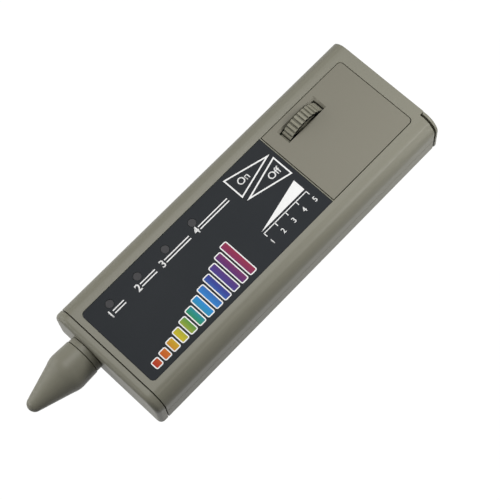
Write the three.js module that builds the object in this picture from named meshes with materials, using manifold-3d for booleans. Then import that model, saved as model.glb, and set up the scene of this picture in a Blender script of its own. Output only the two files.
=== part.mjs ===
// Handheld thermal gemstone tester, built piece by piece.
// Millimetres. +X runs from the probe to the rear, +Y to the side of the lamps, +Z up.
// Heights are measured from the flat underside, lengths from the seam of the front cap.
import * as THREE from "three";
import { mergeVertices } from "three/addons/utils/BufferGeometryUtils.js";
import Module from "manifold-3d";

const wasm = await Module();
wasm.setup();

// Gaps and cutting
const fitGap = 0.3;
const seatGap = 0.1;
const overrun = 1;
const roundSteps = 32;
const smallRoundSteps = 16;
const hexagonSides = 6;
const cornerSteps = 4;

// Case
const caseLength = 165.9;
const caseWidth = 60.6;
const caseHeight = 23.4;
const caseTopRadius = 7.6;
const caseBottomRadius = 3;
const caseWall = 2;
const partingShare = 0.338;
const partingHeight = caseHeight * partingShare;
const frontCapLength = 4.4;
const frontCapPlate = 2.5;
const frontCapRounding = 2.2;
const capLipThickness = 1.2;
const capLipDepth = 3;
const rearCapThickness = 1.35;
const rearCapGap = 1.1;
const halfWidth = caseWidth / 2;
const axisHeight = caseHeight / 2;

// Label and keys, placed from the door behind them and from the label's edge
const batteryLength = 46.4;
const doorRearMargin = 6.4;
const doorLengthMargin = 2.7;
const doorLength = batteryLength + doorLengthMargin;
const doorEnd = caseLength - doorRearMargin;
const doorStart = doorEnd - doorLength;
const labelDoorGap = 1;
const labelSideMargin = 9.3;
const labelStart = 3.25;
const labelEnd = doorStart - labelDoorGap;
const labelLength = labelEnd - labelStart;
const labelHalfWidth = halfWidth - labelSideMargin;
const rearTongueMargin = 0.5;
const rearTongueHalfWidth = labelHalfWidth + rearTongueMargin;
const labelThickness = 0.5;
const labelRecess = 0.6;
const labelCornerRadius = 2;
const labelWall = 1.5;
const lampShares = [0.1069, 0.2586, 0.4112, 0.562];
const lampPositions = lampShares.map((share) => labelStart + share * labelLength);
const lampSideMargin = 5.4;
const lampSide = labelHalfWidth - lampSideMargin;
const lampRadius = 1.8;
const lampHoleGap = 0.25;
const onKeyMargins = [[24.3, 1.9], [24.2, 13.2], [2.3, 7.8]];
const offKeyMargins = [[23.6, 15.5], [1.9, 9.8], [1.9, 20.9]];
const fromLabelCorner = ([x, y]) => [labelEnd - x, labelHalfWidth - y];
const onKeyCorners = onKeyMargins.map(fromLabelCorner);
const offKeyCorners = offKeyMargins.map(fromLabelCorner);
const keyPocketDepth = 0.5;
const keyGap = 0.25;
const keyPostRadius = 1.2;
const keyPostLength = 2.8;
const keyTravel = 0.35;

// Battery door and its frame
const doorSideInset = 0.3;
const doorHalfWidth = labelHalfWidth - doorSideInset;
const doorThickness = 1.8;
const doorCornerRadius = 2;
const doorLedgeWidth = 1.5;
const doorLedgeThickness = 1.4;
const doorLedgeOverlap = 0.1;
const doorLedgeReach = 3;
const nearLedgeSetback = 1.6;
const nearLedgeLength = 4;
const farLedgeSetback = 2.5;
const farLedgeLength = 11;
const nearLedgeStart = doorStart + nearLedgeSetback;
const farLedgeEnd = doorEnd - farLedgeSetback;
const doorLedgeSpans = [
  [nearLedgeStart, nearLedgeStart + nearLedgeLength],
  [farLedgeEnd - farLedgeLength, farLedgeEnd],
];
const tongueWidth = 6;
const tongueSideMargin = 6.7;
const tongueSide = doorHalfWidth - tongueSideMargin;
const tongueReach = 1.5;
const tongueLeg = 1.8;
const tongueThickness = 0.8;
const tongueDrop = 1.2;
const latchWidth = 6;
const latchSideMargin = 7.2;
const latchSide = doorHalfWidth - latchSideMargin;
const latchThickness = 1.5;
const latchDrop = 2.2;
const latchInset = 0.7;

// Thumbwheel and potentiometer
const wheelDoorShare = 0.3564;
const wheelFromSide = 16.6;
const wheelX = doorStart + doorLength * wheelDoorShare;
const wheelSide = halfWidth - wheelFromSide;
const wheelDepthShare = 0.3376;
const wheelDepth = caseHeight * wheelDepthShare;
const wheelHeight = caseHeight - wheelDepth;
const wheelFloorGap = 1.5;
const wheelRadius = wheelHeight - caseWall - wheelFloorGap;
const wheelWidth = 4.9;
const wheelRidges = 34;
const wheelRidgeDepth = 0.8;
const wheelHalfChord = Math.sqrt(wheelRadius ** 2 - (wheelDepth - doorThickness) ** 2);
const slotEndGap = 0.62;
const slotSideGap = 0.7;
const slotHalfLength = wheelHalfChord + slotEndGap;
const slotHalfWidth = wheelWidth / 2 + slotSideGap;
const slotCentreShift = 0.05;
const [slotStart, slotEnd] = [-1, 1].map((end) => wheelX + slotCentreShift + end * slotHalfLength);
const [slotInner, slotOuter] = [-1, 1].map((side) => wheelSide + slotCentreShift + side * slotHalfWidth);
const slotBevel = 1;
const potBodyLength = 9;
const potBodyDepth = 6;
const potShaftRadius = 2.2;
const potShaftDepth = 4;
const wheelScrewRadius = 0.9;
const wheelScrewLength = 3;
const wheelScrewHeadRadius = 2.9;
const wheelScrewHeadThickness = 1;
const wheelRecessDepth = 1.3;
const wheelRecessRadius = 3.6;

// Circuit board
const boardAboveAxis = 0.3;
const boardTop = axisHeight + boardAboveAxis;
const boardThickness = 1.6;
const boardStart = 4.5;
const boardEndMargin = 5.4;
const boardSideInset = 1;
const boardArmRearMargin = 17.5;
const boardArmOverlap = 6;
const boardArmInnerMargin = 13.7;
const boardArmOuterMargin = 4.3;
const boardEnd = labelEnd - boardEndMargin;
const boardLength = boardEnd - boardStart;
const boardHalfWidth = labelHalfWidth - boardSideInset;
const boardArmEnd = doorEnd - boardArmRearMargin;
const boardArmStart = boardEnd - boardArmOverlap;
const boardArmInner = halfWidth - boardArmInnerMargin;
const boardArmOuter = halfWidth - boardArmOuterMargin;
const boardNotchEnd = 22;
const boardNotchGap = 0.4;
const standoffRadius = 3;
const boardScrewRadius = 1.1;
const boardScrewHeadRadius = 2.2;
const boardScrewHeadThickness = 1.3;
const boardScrewLength = 6;
const boardScrewMargin = 5;
const armScrewBeforeWheel = 8.1;
const armScrewSideMargin = 4;
const boardScrewShares = [0.236, 0.759];
const boardScrewPlaces = [
  ...boardScrewShares.map((share) => [boardStart + share * boardLength, boardScrewMargin - boardHalfWidth]),
  [wheelX - armScrewBeforeWheel, boardArmOuter - armScrewSideMargin],
];

// Case screws
const bossRadius = 3;
const caseScrewRadius = 1.3;
const caseScrewHeadRadius = 2.4;
const caseScrewHeadThickness = 1.6;
const caseScrewHeadroom = 10.4;
const caseScrewLength = caseHeight - caseScrewHeadroom;
const caseScrewSink = 3;
const frontScrewPlace = 9;
const frontScrewMargin = 6.8;
const rearScrewMargins = [[17.9, 6.4], [16.9, 5.8]];
const caseScrewPlaces = [
  [frontScrewPlace, frontScrewMargin - halfWidth],
  [frontScrewPlace, halfWidth - frontScrewMargin],
  ...rearScrewMargins.map(([x, y], index) => [caseLength - x, (2 * index - 1) * (halfWidth - y)]),
];

// Battery, in the bay that the bosses, the wheel, the floor and the door leave it
const batteryBossMargin = 11.55;
const batteryWheelMargin = 22.55;
const batteryHeadroom = 5.9;
const batteryWidth = caseWidth - batteryBossMargin - batteryWheelMargin;
const batteryThickness = caseHeight - batteryHeadroom;
const batterySetback = 2.4;
const batteryStart = doorStart + batterySetback;
const batterySide = (batteryBossMargin - batteryWheelMargin) / 2;
const batteryCorner = 1.6;
const padThickness = 0.9;
const snapPlate = 0.8;
const snapPitch = 12.7;
const snapLength = 1.8;
const snapStudRadius = 2.9;
const snapSocketRadius = 3.9;
const clipThickness = 3.2;
const clipLength = 24;
const clipHeight = 12;
const bayRibThickness = 1.2;
const bayRibHeight = 8;

// Inlet jack
const jackSideMargin = 14.8;
const jackSide = halfWidth - jackSideMargin;
const jackBodyRadius = 5.4;
const jackBodyLength = 12;
const jackNeckRadius = 4.4;
const jackBore = 3.25;
const jackBoreDepth = 10;
const jackPinRadius = 1.05;
const jackPinInset = 4.8;
const jackNutRadius = 6.2;
const jackNutThickness = 1.2;
const jackLugLength = 3;

// Probe
const probeSideMargin = 18.9;
const probeSide = halfWidth - probeSideMargin;
const neckRadius = 8.5;
const neckEnd = 7.3;
const spigotRadius = 6.9;
const spigotEnd = 13;
const collarTailRadius = 5.6;
const collarTailLength = 3;
const probeNutRadius = 7.8;
const probeNutThickness = 3;
const barrelRadius = 4.2;
const barrelNoseRadius = 3;
const barrelShoulder = 22;
const barrelEnd = 26;
const barrelRearRadius = 3.1;
const barrelRearEnd = 20;
const barrelStep = 2.5;
const barrelBore = 2.3;
const barrelNoseBore = 1.3;
const barrelNoseWall = 2;
const tipRadius = 1;
const tipTailRadius = 0.8;
const tipPointRadius = 0.45;
const tipPointLength = 1.2;
const tipEnd = 28;
const tipFlangeRadius = 1.9;
const tipFlangeLength = 2;
const insulatorRadius = 2;
const insulatorBore = 1.15;
const insulatorFront = 9.7;
const insulatorRear = 17;
const springRadius = 1.45;
const springWire = 0.22;
const springCurls = 9;
const springCurlSteps = 8;
const springWireSides = 5;
const heaterRadius = 0.8;
const heaterLength = 4;
const probeLeadRadius = 0.35;
const probeLeadStart = 3.2;
const gripRingRadius = 7.1;
const gripRingThickness = 0.65;
const gripRingWidth = 1;
const gripRingPlace = 10;

// Probe cap
const capStart = 7.45;
const capMouthRadius = 8.75;
const capBellyRadius = 9.05;
const capBellyPlace = 15.6;
const capShoulderPlace = 20.3;
const capShoulderRadius = 8;
const capEnd = 38.1;
const capTipRadius = 3.45;
const capConeDegrees = 17;
const capConeAngle = THREE.MathUtils.degToRad(capConeDegrees);
const capBoreDepth = 6.2;
const capWall = 1.25;
const capHollowEnd = 33.4;

// Solids from three.js geometries
function solidFrom(geometry) {
  const plain = geometry.index ? geometry.toNonIndexed() : geometry;
  plain.deleteAttribute("normal");
  plain.deleteAttribute("uv");
  const merged = mergeVertices(plain);
  const vertProperties = merged.getAttribute("position").array;
  const triVerts = new Uint32Array(merged.getIndex().array);
  return new wasm.Manifold(new wasm.Mesh({ numProp: 3, vertProperties, triVerts }));
}

function geometryFrom(solid) {
  const mesh = solid.getMesh();
  const geometry = new THREE.BufferGeometry();
  geometry.setAttribute("position", new THREE.BufferAttribute(mesh.vertProperties, mesh.numProp));
  geometry.setIndex(new THREE.BufferAttribute(mesh.triVerts, 1));
  geometry.computeVertexNormals();
  return geometry;
}

function joined(solids) {
  return solids.reduce((sum, solid) => sum.add(solid));
}

// A box given by its lower and upper limits along each axis.
function block(spanX, spanY, spanZ) {
  const spans = [spanX, spanY, spanZ];
  const sizes = spans.map(([low, high]) => high - low);
  const centre = spans.map(([low, high]) => (low + high) / 2);
  return solidFrom(new THREE.BoxGeometry(...sizes).translate(...centre));
}

function around(centre, size) {
  return [centre - size / 2, centre + size / 2];
}

// A rod along an axis, between two places on it.
function rod(axis, radius, [low, high], [across, up], steps = smallRoundSteps) {
  const geometry = new THREE.CylinderGeometry(radius, radius, high - low, steps);
  const middle = (low + high) / 2;
  if (axis === "x") {
    geometry.rotateZ(-Math.PI / 2).translate(middle, across, up);
  } else if (axis === "y") {
    geometry.translate(across, middle, up);
  } else {
    geometry.rotateX(Math.PI / 2).translate(across, up, middle);
  }
  return solidFrom(geometry);
}

// A hexagonal nut's blank along X, with flats above and below.
function hexagonRod(radius, [low, high], [across, up]) {
  const geometry = new THREE.CylinderGeometry(radius, radius, high - low, hexagonSides);
  geometry.rotateY(Math.PI / hexagonSides).rotateZ(-Math.PI / 2);
  return solidFrom(geometry.translate((low + high) / 2, across, up));
}

function shapeOf(corners) {
  return new THREE.Shape(corners.map(([x, y]) => new THREE.Vector2(x, y)));
}

// A rectangle with its own radius at each corner, anticlockwise from the lower left.
function roundedRectangle([left, right], [low, high], radii) {
  const [lowerLeft, lowerRight, upperRight, upperLeft] = radii;
  const quarter = Math.PI / 2;
  const shape = new THREE.Shape();
  shape.moveTo(left + lowerLeft, low);
  shape.lineTo(right - lowerRight, low);
  if (lowerRight > 0) shape.absarc(right - lowerRight, low + lowerRight, lowerRight, -quarter, 0);
  shape.lineTo(right, high - upperRight);
  if (upperRight > 0) shape.absarc(right - upperRight, high - upperRight, upperRight, 0, quarter);
  shape.lineTo(left + upperLeft, high);
  if (upperLeft > 0) shape.absarc(left + upperLeft, high - upperLeft, upperLeft, quarter, 2 * quarter);
  shape.lineTo(left, low + lowerLeft);
  if (lowerLeft > 0) shape.absarc(left + lowerLeft, low + lowerLeft, lowerLeft, 2 * quarter, 3 * quarter);
  return shape;
}

// A flat shape in X and Y, raised between two heights.
function raised(shape, [low, high]) {
  const settings = { depth: high - low, bevelEnabled: false, curveSegments: cornerSteps };
  return solidFrom(new THREE.ExtrudeGeometry(shape, settings).translate(0, 0, low));
}

const alongX = new THREE.Matrix4().makeBasis(
  new THREE.Vector3(0, 1, 0),
  new THREE.Vector3(0, 0, 1),
  new THREE.Vector3(1, 0, 0),
);

// The case's cross-section, drawn in by an inset.
function caseShape(inset) {
  const bottom = Math.max(caseBottomRadius - inset, 0);
  const top = caseTopRadius - inset;
  return roundedRectangle(
    [-halfWidth + inset, halfWidth - inset],
    [inset, caseHeight - inset],
    [bottom, bottom, top, top],
  );
}

function caseSection(inset, [start, end]) {
  const settings = { depth: end - start, bevelEnabled: false, curveSegments: cornerSteps };
  const geometry = new THREE.ExtrudeGeometry(caseShape(inset), settings);
  return solidFrom(geometry.applyMatrix4(alongX).translate(start, 0, 0));
}

// A turned piece. Its profile holds [radius, place] pairs, with places counted from the seam to the tip.
function turned(profile, side, steps = roundSteps) {
  const points = profile.map(([radius, place]) => new THREE.Vector2(radius, place));
  const geometry = new THREE.LatheGeometry(points, steps);
  return solidFrom(geometry.rotateZ(Math.PI / 2).translate(0, side, axisHeight));
}

// A wire or lead along a smooth path.
function wire(points, radius, steps) {
  const path = new THREE.CatmullRomCurve3(points.map((point) => new THREE.Vector3(...point)));
  const section = new THREE.Shape();
  section.absarc(0, 0, radius, 0, 2 * Math.PI);
  const settings = { steps, extrudePath: path, curveSegments: cornerSteps };
  return solidFrom(new THREE.ExtrudeGeometry(section, settings));
}

// Case shells
const topUnderside = caseHeight - caseWall;
const shellEnd = caseLength - rearCapThickness - rearCapGap;
const labelSeat = caseHeight - labelRecess;
const labelUnderside = labelSeat - labelWall;
const keySeat = labelSeat - keyPocketDepth;
const doorUnderside = caseHeight - doorThickness;
const doorFrameGap = fitGap;
const ledgeTop = doorUnderside - seatGap;

function centreOf(corners) {
  const sum = corners.reduce(([x, y], corner) => [x + corner[0], y + corner[1]], [0, 0]);
  return sum.map((value) => value / corners.length);
}

// Moves each side of a triangle outwards by a distance.
function grown(corners, distance) {
  const [middleX, middleY] = centreOf(corners);
  const sides = corners.map(([x, y], index) => {
    const [nextX, nextY] = corners[(index + 1) % corners.length];
    const length = Math.hypot(nextX - x, nextY - y);
    let normal = [(nextY - y) / length, (x - nextX) / length];
    const outwards = (x - middleX) * normal[0] + (y - middleY) * normal[1];
    if (outwards < 0) normal = normal.map((value) => -value);
    return { normal, offset: x * normal[0] + y * normal[1] + distance };
  });
  return sides.map((side, index) => {
    const last = sides[(index + sides.length - 1) % sides.length];
    const cross = last.normal[0] * side.normal[1] - last.normal[1] * side.normal[0];
    return [
      (last.offset * side.normal[1] - side.offset * last.normal[1]) / cross,
      (last.normal[0] * side.offset - side.normal[0] * last.offset) / cross,
    ];
  });
}

function labelOutline(gap) {
  const radius = labelCornerRadius + gap;
  return roundedRectangle(
    [labelStart - gap, labelEnd + gap],
    [-labelHalfWidth - gap, labelHalfWidth + gap],
    [radius, 0, 0, radius],
  );
}

function doorOutline(gap) {
  const radius = doorCornerRadius + gap;
  return roundedRectangle(
    [doorStart - gap, doorEnd + gap],
    [-doorHalfWidth - gap, doorHalfWidth + gap],
    [0, radius, radius, 0],
  );
}

function caseTube(start, end) {
  const hollow = caseSection(caseWall, [start - overrun, end + overrun]);
  return caseSection(0, [start, end]).subtract(hollow);
}

const wholeWidth = [-halfWidth - overrun, halfWidth + overrun];
const wholeLength = [-overrun, caseLength + overrun];

function upperBoss(place) {
  return rod("z", bossRadius, [partingHeight + fitGap / 2, topUnderside + seatGap], place);
}

function doorLedge(side, [start, end]) {
  const inner = doorHalfWidth + doorFrameGap - doorLedgeWidth;
  const across = [side * inner, side * (inner + doorLedgeReach)].sort((a, b) => a - b);
  return block([start, end], across, [ledgeTop - doorLedgeThickness, ledgeTop]);
}

function ledgeWeb(side, [start, end]) {
  const inner = doorHalfWidth + doorFrameGap;
  const across = [side * inner, side * (inner + doorLedgeReach)].sort((a, b) => a - b);
  return block([start, end], across, [ledgeTop - doorLedgeThickness, topUnderside + doorLedgeOverlap]);
}

function keyPocket(corners) {
  return raised(shapeOf(grown(corners, keyGap)), [keySeat, caseHeight]);
}

function upperShell() {
  const below = block(wholeLength, wholeWidth, [-overrun, partingHeight + fitGap / 2]);
  const notch = block(
    [shellEnd, caseLength + overrun],
    [-halfWidth - overrun, -rearTongueHalfWidth],
    [0, caseHeight + overrun],
  );
  const ledges = [-1, 1].flatMap((side) =>
    doorLedgeSpans.flatMap((span) => [doorLedge(side, span), ledgeWeb(side, span)]),
  );
  const labelDeck = block(
    [labelStart, doorStart - doorFrameGap],
    [-labelHalfWidth - overrun, labelHalfWidth + overrun],
    [labelUnderside, topUnderside + seatGap],
  );
  let shell = caseTube(fitGap / 2, caseLength).subtract(joined([below, notch]));
  const doorOpening = raised(doorOutline(doorFrameGap), [topUnderside - overrun, caseHeight + overrun]);
  shell = joined([shell, labelDeck]).subtract(doorOpening);
  shell = joined([shell, ...ledges, ...caseScrewPlaces.map(upperBoss)]);
  const cuts = [
    raised(labelOutline(doorFrameGap / 2), [labelSeat, caseHeight + overrun]),
    keyPocket(onKeyCorners),
    keyPocket(offKeyCorners),
    ...[onKeyCorners, offKeyCorners].map((corners) =>
      rod("z", keyPostRadius + fitGap, [labelUnderside - overrun, caseHeight], centreOf(corners)),
    ),
    ...lampPositions.map((x) =>
      rod("z", lampRadius + lampHoleGap, [labelUnderside - overrun, caseHeight], [x, lampSide]),
    ),
    ...caseScrewPlaces.map((place) =>
      rod("z", caseScrewRadius + fitGap, [partingHeight - overrun, caseScrewSink + caseScrewLength], place),
    ),
  ];
  return shell.subtract(joined(cuts));
}

function standoff([x, y]) {
  return rod("z", standoffRadius, [caseWall - seatGap, boardTop - boardThickness - seatGap], [x, y]);
}

function lowerShell() {
  const above = block(wholeLength, wholeWidth, [partingHeight - fitGap / 2, caseHeight + overrun]);
  const batteryEnd = batteryStart + batteryLength;
  const ribs = [-1, 1].map((side) => {
    const near = batterySide + side * (batteryWidth / 2 + fitGap);
    const across = [near, near + side * bayRibThickness].sort((a, b) => a - b);
    return block([batteryStart, batteryEnd], across, [caseWall - seatGap, caseWall + bayRibHeight]);
  });
  const bosses = joined(
    caseScrewPlaces.map((place) => rod("z", bossRadius, [0, partingHeight - fitGap / 2], place)),
  ).intersect(caseSection(0, [0, caseLength]));
  const shell = caseTube(fitGap / 2, shellEnd).subtract(above);
  const whole = joined([shell, bosses, ...ribs, ...boardScrewPlaces.map(standoff)]);
  const cuts = [
    ...caseScrewPlaces.flatMap((place) => [
      rod("z", caseScrewRadius + fitGap, [-overrun, partingHeight + overrun], place),
      rod("z", caseScrewHeadRadius + fitGap, [-overrun, caseScrewSink], place),
    ]),
    ...boardScrewPlaces.map((place) =>
      rod("z", boardScrewRadius + fitGap, [caseWall + seatGap, boardTop], place),
    ),
  ];
  return whole.subtract(joined(cuts));
}

// End caps
function capLip([start, end]) {
  const outer = caseSection(caseWall + fitGap, [start, end]);
  const inner = caseSection(caseWall + fitGap + capLipThickness, [start - overrun, end + overrun]);
  return outer.subtract(inner);
}

// The cap's outer form, with its front edge rounded all the way round.
function frontCapBlank() {
  const inset = frontCapRounding;
  const settings = {
    depth: frontCapLength,
    bevelThickness: inset,
    bevelSize: inset,
    bevelSegments: cornerSteps,
    curveSegments: cornerSteps,
  };
  const geometry = new THREE.ExtrudeGeometry(caseShape(inset), settings);
  const blank = solidFrom(geometry.applyMatrix4(alongX).translate(inset - frontCapLength, 0, 0));
  const tail = block([-fitGap / 2, frontCapLength + overrun], wholeWidth, [-overrun, caseHeight + overrun]);
  return blank.subtract(tail);
}

function frontCap() {
  const plateEnd = frontCapPlate - frontCapLength;
  const hollow = caseSection(caseWall + fitGap + capLipThickness, [plateEnd, overrun]);
  const lip = capLip([plateEnd, capLipDepth]);
  const hole = rod(
    "x",
    collarTailRadius + fitGap,
    [-frontCapLength - overrun, overrun],
    [probeSide, axisHeight],
    roundSteps,
  );
  const nutRoom = rod(
    "x",
    probeNutRadius + fitGap,
    [plateEnd, capLipDepth + overrun],
    [probeSide, axisHeight],
    roundSteps,
  );
  return frontCapBlank().subtract(hollow).add(lip).subtract(nutRoom).subtract(hole);
}

function rearCap() {
  const start = caseLength - rearCapThickness;
  const plate = caseSection(0, [start, caseLength]);
  const shellRoom = block(
    [start - seatGap, caseLength + seatGap],
    [-rearTongueHalfWidth - fitGap, halfWidth + overrun],
    [partingHeight - fitGap / 2, caseHeight + overrun],
  ).subtract(caseSection(caseWall + fitGap, [start - overrun, caseLength + overrun]));
  const hole = rod(
    "x",
    jackNeckRadius + fitGap,
    [start - overrun, caseLength + overrun],
    [jackSide, axisHeight],
    roundSteps,
  );
  const lip = capLip([start - capLipDepth, start + seatGap]);
  return joined([plate.subtract(shellRoom), lip]).subtract(hole);
}

// Label, keys and switches
const labelTop = labelSeat + labelThickness;

function labelOverlay() {
  const sheet = raised(labelOutline(0), [labelSeat, labelTop]);
  const cuts = [
    ...[onKeyCorners, offKeyCorners].map((corners) =>
      raised(shapeOf(grown(corners, keyGap)), [labelSeat - overrun, caseHeight]),
    ),
    ...lampPositions.map((x) =>
      rod("z", lampRadius + lampHoleGap / 2, [labelSeat - overrun, caseHeight], [x, lampSide], roundSteps),
    ),
  ];
  return sheet.subtract(joined(cuts));
}

function key(corners) {
  const pad = raised(shapeOf(corners), [labelSeat, labelTop]);
  const post = rod("z", keyPostRadius, [labelTop - keyPostLength, labelSeat + seatGap], centreOf(corners));
  return pad.add(post);
}

const switchSize = 6;
const switchHeight = 3.5;
const switchWell = 2.4;
const plungerRadius = 1.7;

function tactSwitch(corners) {
  const [x, y] = centreOf(corners);
  const bottom = boardTop + seatGap;
  const top = bottom + switchHeight;
  const body = block(around(x, switchSize), around(y, switchSize), [bottom, top]);
  return body.subtract(rod("z", plungerRadius + fitGap, [top - switchWell, top + overrun], [x, y]));
}

function plunger(corners) {
  const bottom = boardTop + seatGap + switchHeight - switchWell + keyTravel + seatGap;
  return rod("z", plungerRadius, [bottom, labelTop - keyPostLength - seatGap], centreOf(corners));
}

// Battery door, opened about its near edge
function funnel(inner, outer, [low, high]) {
  const geometry = new THREE.BoxGeometry(1, 1, high - low);
  const places = geometry.getAttribute("position");
  for (let index = 0; index < places.count; index += 1) {
    const [spanX, spanY] = places.getZ(index) > 0 ? outer : inner;
    const x = places.getX(index) > 0 ? spanX[1] : spanX[0];
    const y = places.getY(index) > 0 ? spanY[1] : spanY[0];
    places.setXY(index, x, y);
  }
  return solidFrom(geometry.translate(0, 0, (low + high) / 2));
}

const slotBevelDepth = 0.8;

function doorTongue(side) {
  const width = around(side * tongueSide, tongueWidth);
  const bottom = doorUnderside - tongueDrop;
  const leg = block([doorStart + fitGap, doorStart + tongueLeg], width, [bottom, doorUnderside + seatGap]);
  const reach = [doorStart - tongueReach, doorStart + tongueLeg];
  const toe = block(reach, width, [bottom, bottom + tongueThickness]);
  return leg.add(toe);
}

function batteryDoor() {
  const plate = raised(doorOutline(0), [doorUnderside, caseHeight]);
  const latchEnd = doorEnd - latchInset;
  const latch = block(
    [latchEnd - latchThickness, latchEnd],
    around(latchSide, latchWidth),
    [doorUnderside - latchDrop, doorUnderside + seatGap],
  );
  const through = [doorUnderside - overrun, caseHeight + overrun];
  const slot = block([slotStart, slotEnd], [slotInner, slotOuter], through);
  const bevel = funnel(
    [[slotStart, slotEnd], [slotInner, slotOuter]],
    [[slotStart, slotEnd + slotBevel], [slotInner, slotOuter + slotBevel]],
    [caseHeight - slotBevelDepth, caseHeight],
  );
  return joined([plate, latch, doorTongue(-1), doorTongue(1)]).subtract(slot.add(bevel));
}

// Thumbwheel on its potentiometer
const ridgeRootShare = 0.25;
const ridgeCrestShare = 0.45;
const ridgeRampShare = (1 - ridgeRootShare - ridgeCrestShare) / 2;
const firstRidgeShare = 0.74;

function thumbwheel() {
  const points = [];
  const ridgeAngle = (2 * Math.PI) / wheelRidges;
  const root = wheelRadius - wheelRidgeDepth;
  const crestEnd = ridgeRootShare + ridgeRampShare + ridgeCrestShare;
  for (let ridge = 0; ridge < wheelRidges; ridge += 1) {
    const start = (ridge + firstRidgeShare) * ridgeAngle;
    const steps = [
      [root, 0],
      [root, ridgeRootShare],
      [wheelRadius, ridgeRootShare + ridgeRampShare],
      [wheelRadius, crestEnd],
    ];
    steps.forEach(([radius, share]) => {
      const angle = start + share * ridgeAngle;
      points.push([radius * Math.cos(angle), radius * Math.sin(angle)]);
    });
  }
  const settings = { depth: wheelWidth, bevelEnabled: false };
  const geometry = new THREE.ExtrudeGeometry(shapeOf(points), settings);
  const outer = wheelSide + wheelWidth / 2;
  const disc = solidFrom(geometry.rotateX(Math.PI / 2).translate(wheelX, outer, wheelHeight));
  const inner = wheelSide - wheelWidth / 2;
  const place = [wheelX, wheelHeight];
  const recess = rod("y", wheelRecessRadius, [inner - overrun, inner + wheelRecessDepth], place);
  const hole = rod("y", potShaftRadius + fitGap, [inner, outer + overrun], place);
  return disc.subtract(recess.add(hole));
}

const wheelInner = wheelSide - wheelWidth / 2;
const potInner = boardArmInner + fitGap;
const potHeadroom = 0.8;
const potBodyHeight = topUnderside - boardTop - potHeadroom;

function wheelShaft() {
  const start = wheelInner + wheelRecessDepth + seatGap;
  const place = [wheelX, wheelHeight];
  const shaft = rod("y", potShaftRadius, [start, potInner + potShaftDepth], place);
  const thread = [start - overrun, start + wheelScrewLength];
  return shaft.subtract(rod("y", wheelScrewRadius + fitGap, thread, place));
}

function thumbwheelScrew() {
  const headEnd = wheelInner + wheelRecessDepth - seatGap;
  const place = [wheelX, wheelHeight];
  const head = rod("y", wheelScrewHeadRadius, [headEnd - wheelScrewHeadThickness, headEnd], place);
  return head.add(rod("y", wheelScrewRadius, [headEnd - seatGap, headEnd + wheelScrewLength], place));
}

function potBody() {
  const bottom = boardTop + seatGap;
  const body = block(
    around(wheelX, potBodyLength),
    [potInner, potInner + potBodyDepth],
    [bottom, bottom + potBodyHeight],
  );
  const well = rod(
    "y",
    potShaftRadius + fitGap,
    [potInner - overrun, potInner + potShaftDepth + fitGap],
    [wheelX, wheelHeight],
  );
  return body.subtract(well);
}

// Circuit board and what stands on it
function mainBoard() {
  const notchInner = probeSide - barrelRearRadius - boardNotchGap;
  const notchOuter = probeSide + barrelRearRadius + boardNotchGap;
  const outline = [
    [boardStart, -boardHalfWidth],
    [boardEnd, -boardHalfWidth],
    [boardEnd, boardArmInner],
    [boardArmEnd, boardArmInner],
    [boardArmEnd, boardArmOuter],
    [boardArmStart, boardArmOuter],
    [boardArmStart, boardHalfWidth],
    [boardStart, boardHalfWidth],
    [boardStart, notchOuter],
    [boardNotchEnd, notchOuter],
    [boardNotchEnd, notchInner],
    [boardStart, notchInner],
  ];
  const board = raised(shapeOf(outline), [boardTop - boardThickness, boardTop]);
  const holes = boardScrewPlaces.map((place) =>
    rod("z", boardScrewRadius + fitGap, [0, caseHeight], place),
  );
  return board.subtract(joined(holes));
}

const lampFlangeShare = 0.531;
const lampFlangeHeight = (labelTop - boardTop) * lampFlangeShare;
const lampFlangeThickness = 1;
const lampFlangeExtra = 0.3;
const lampLeadWidth = 0.5;
const lampLeadPitch = 2.54;
const lampTopGap = 0.08;

function indicatorLamp(x) {
  const flange = boardTop + lampFlangeHeight;
  const lens = rod("z", lampRadius, [flange, labelTop - lampTopGap], [x, lampSide], roundSteps);
  const rimRadius = lampRadius + lampFlangeExtra;
  const rim = rod("z", rimRadius, [flange, flange + lampFlangeThickness], [x, lampSide], roundSteps);
  const leads = [-1, 1].map((side) =>
    block(
      around(x + (side * lampLeadPitch) / 2, lampLeadWidth),
      around(lampSide, lampLeadWidth),
      [boardTop + seatGap, flange + seatGap],
    ),
  );
  return joined([lens, rim, ...leads]);
}

const chipLength = 9.8;
const chipWidth = 6.4;
const chipHeight = 3.4;
const chipStandoff = 0.6;
const chipLegPitch = 2.54;
const chipLegWidth = 0.6;
const chipLegRows = 4;

function chip([x, y]) {
  const bottom = boardTop + seatGap;
  const body = block(
    around(x, chipLength),
    around(y, chipWidth),
    [bottom + chipStandoff, bottom + chipStandoff + chipHeight],
  );
  const legs = [];
  for (let row = 0; row < chipLegRows; row += 1) {
    const place = x + (row - (chipLegRows - 1) / 2) * chipLegPitch;
    const across = around(y, chipWidth + 2 * chipLegWidth);
    const shoulder = bottom + chipStandoff + chipHeight / 2;
    const strip = block(around(place, chipLegWidth), across, [bottom, shoulder]);
    const under = block(around(place, chipLength), around(y, chipWidth), [0, bottom + chipStandoff]);
    legs.push(strip.subtract(under));
  }
  return joined([body, ...legs]);
}

const capacitorRadius = 2.6;
const capacitorHeadroom = 2.3;
const capacitorHeight = labelUnderside - boardTop - capacitorHeadroom;

function capacitor(place) {
  const bottom = boardTop + seatGap;
  return rod("z", capacitorRadius, [bottom, bottom + capacitorHeight], place);
}

const resistorRadius = 1.1;
const resistorLength = 6.3;
const resistorSpan = 10.2;
const resistorLeadWidth = 0.6;
const resistorHeight = 1.3;

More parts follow.
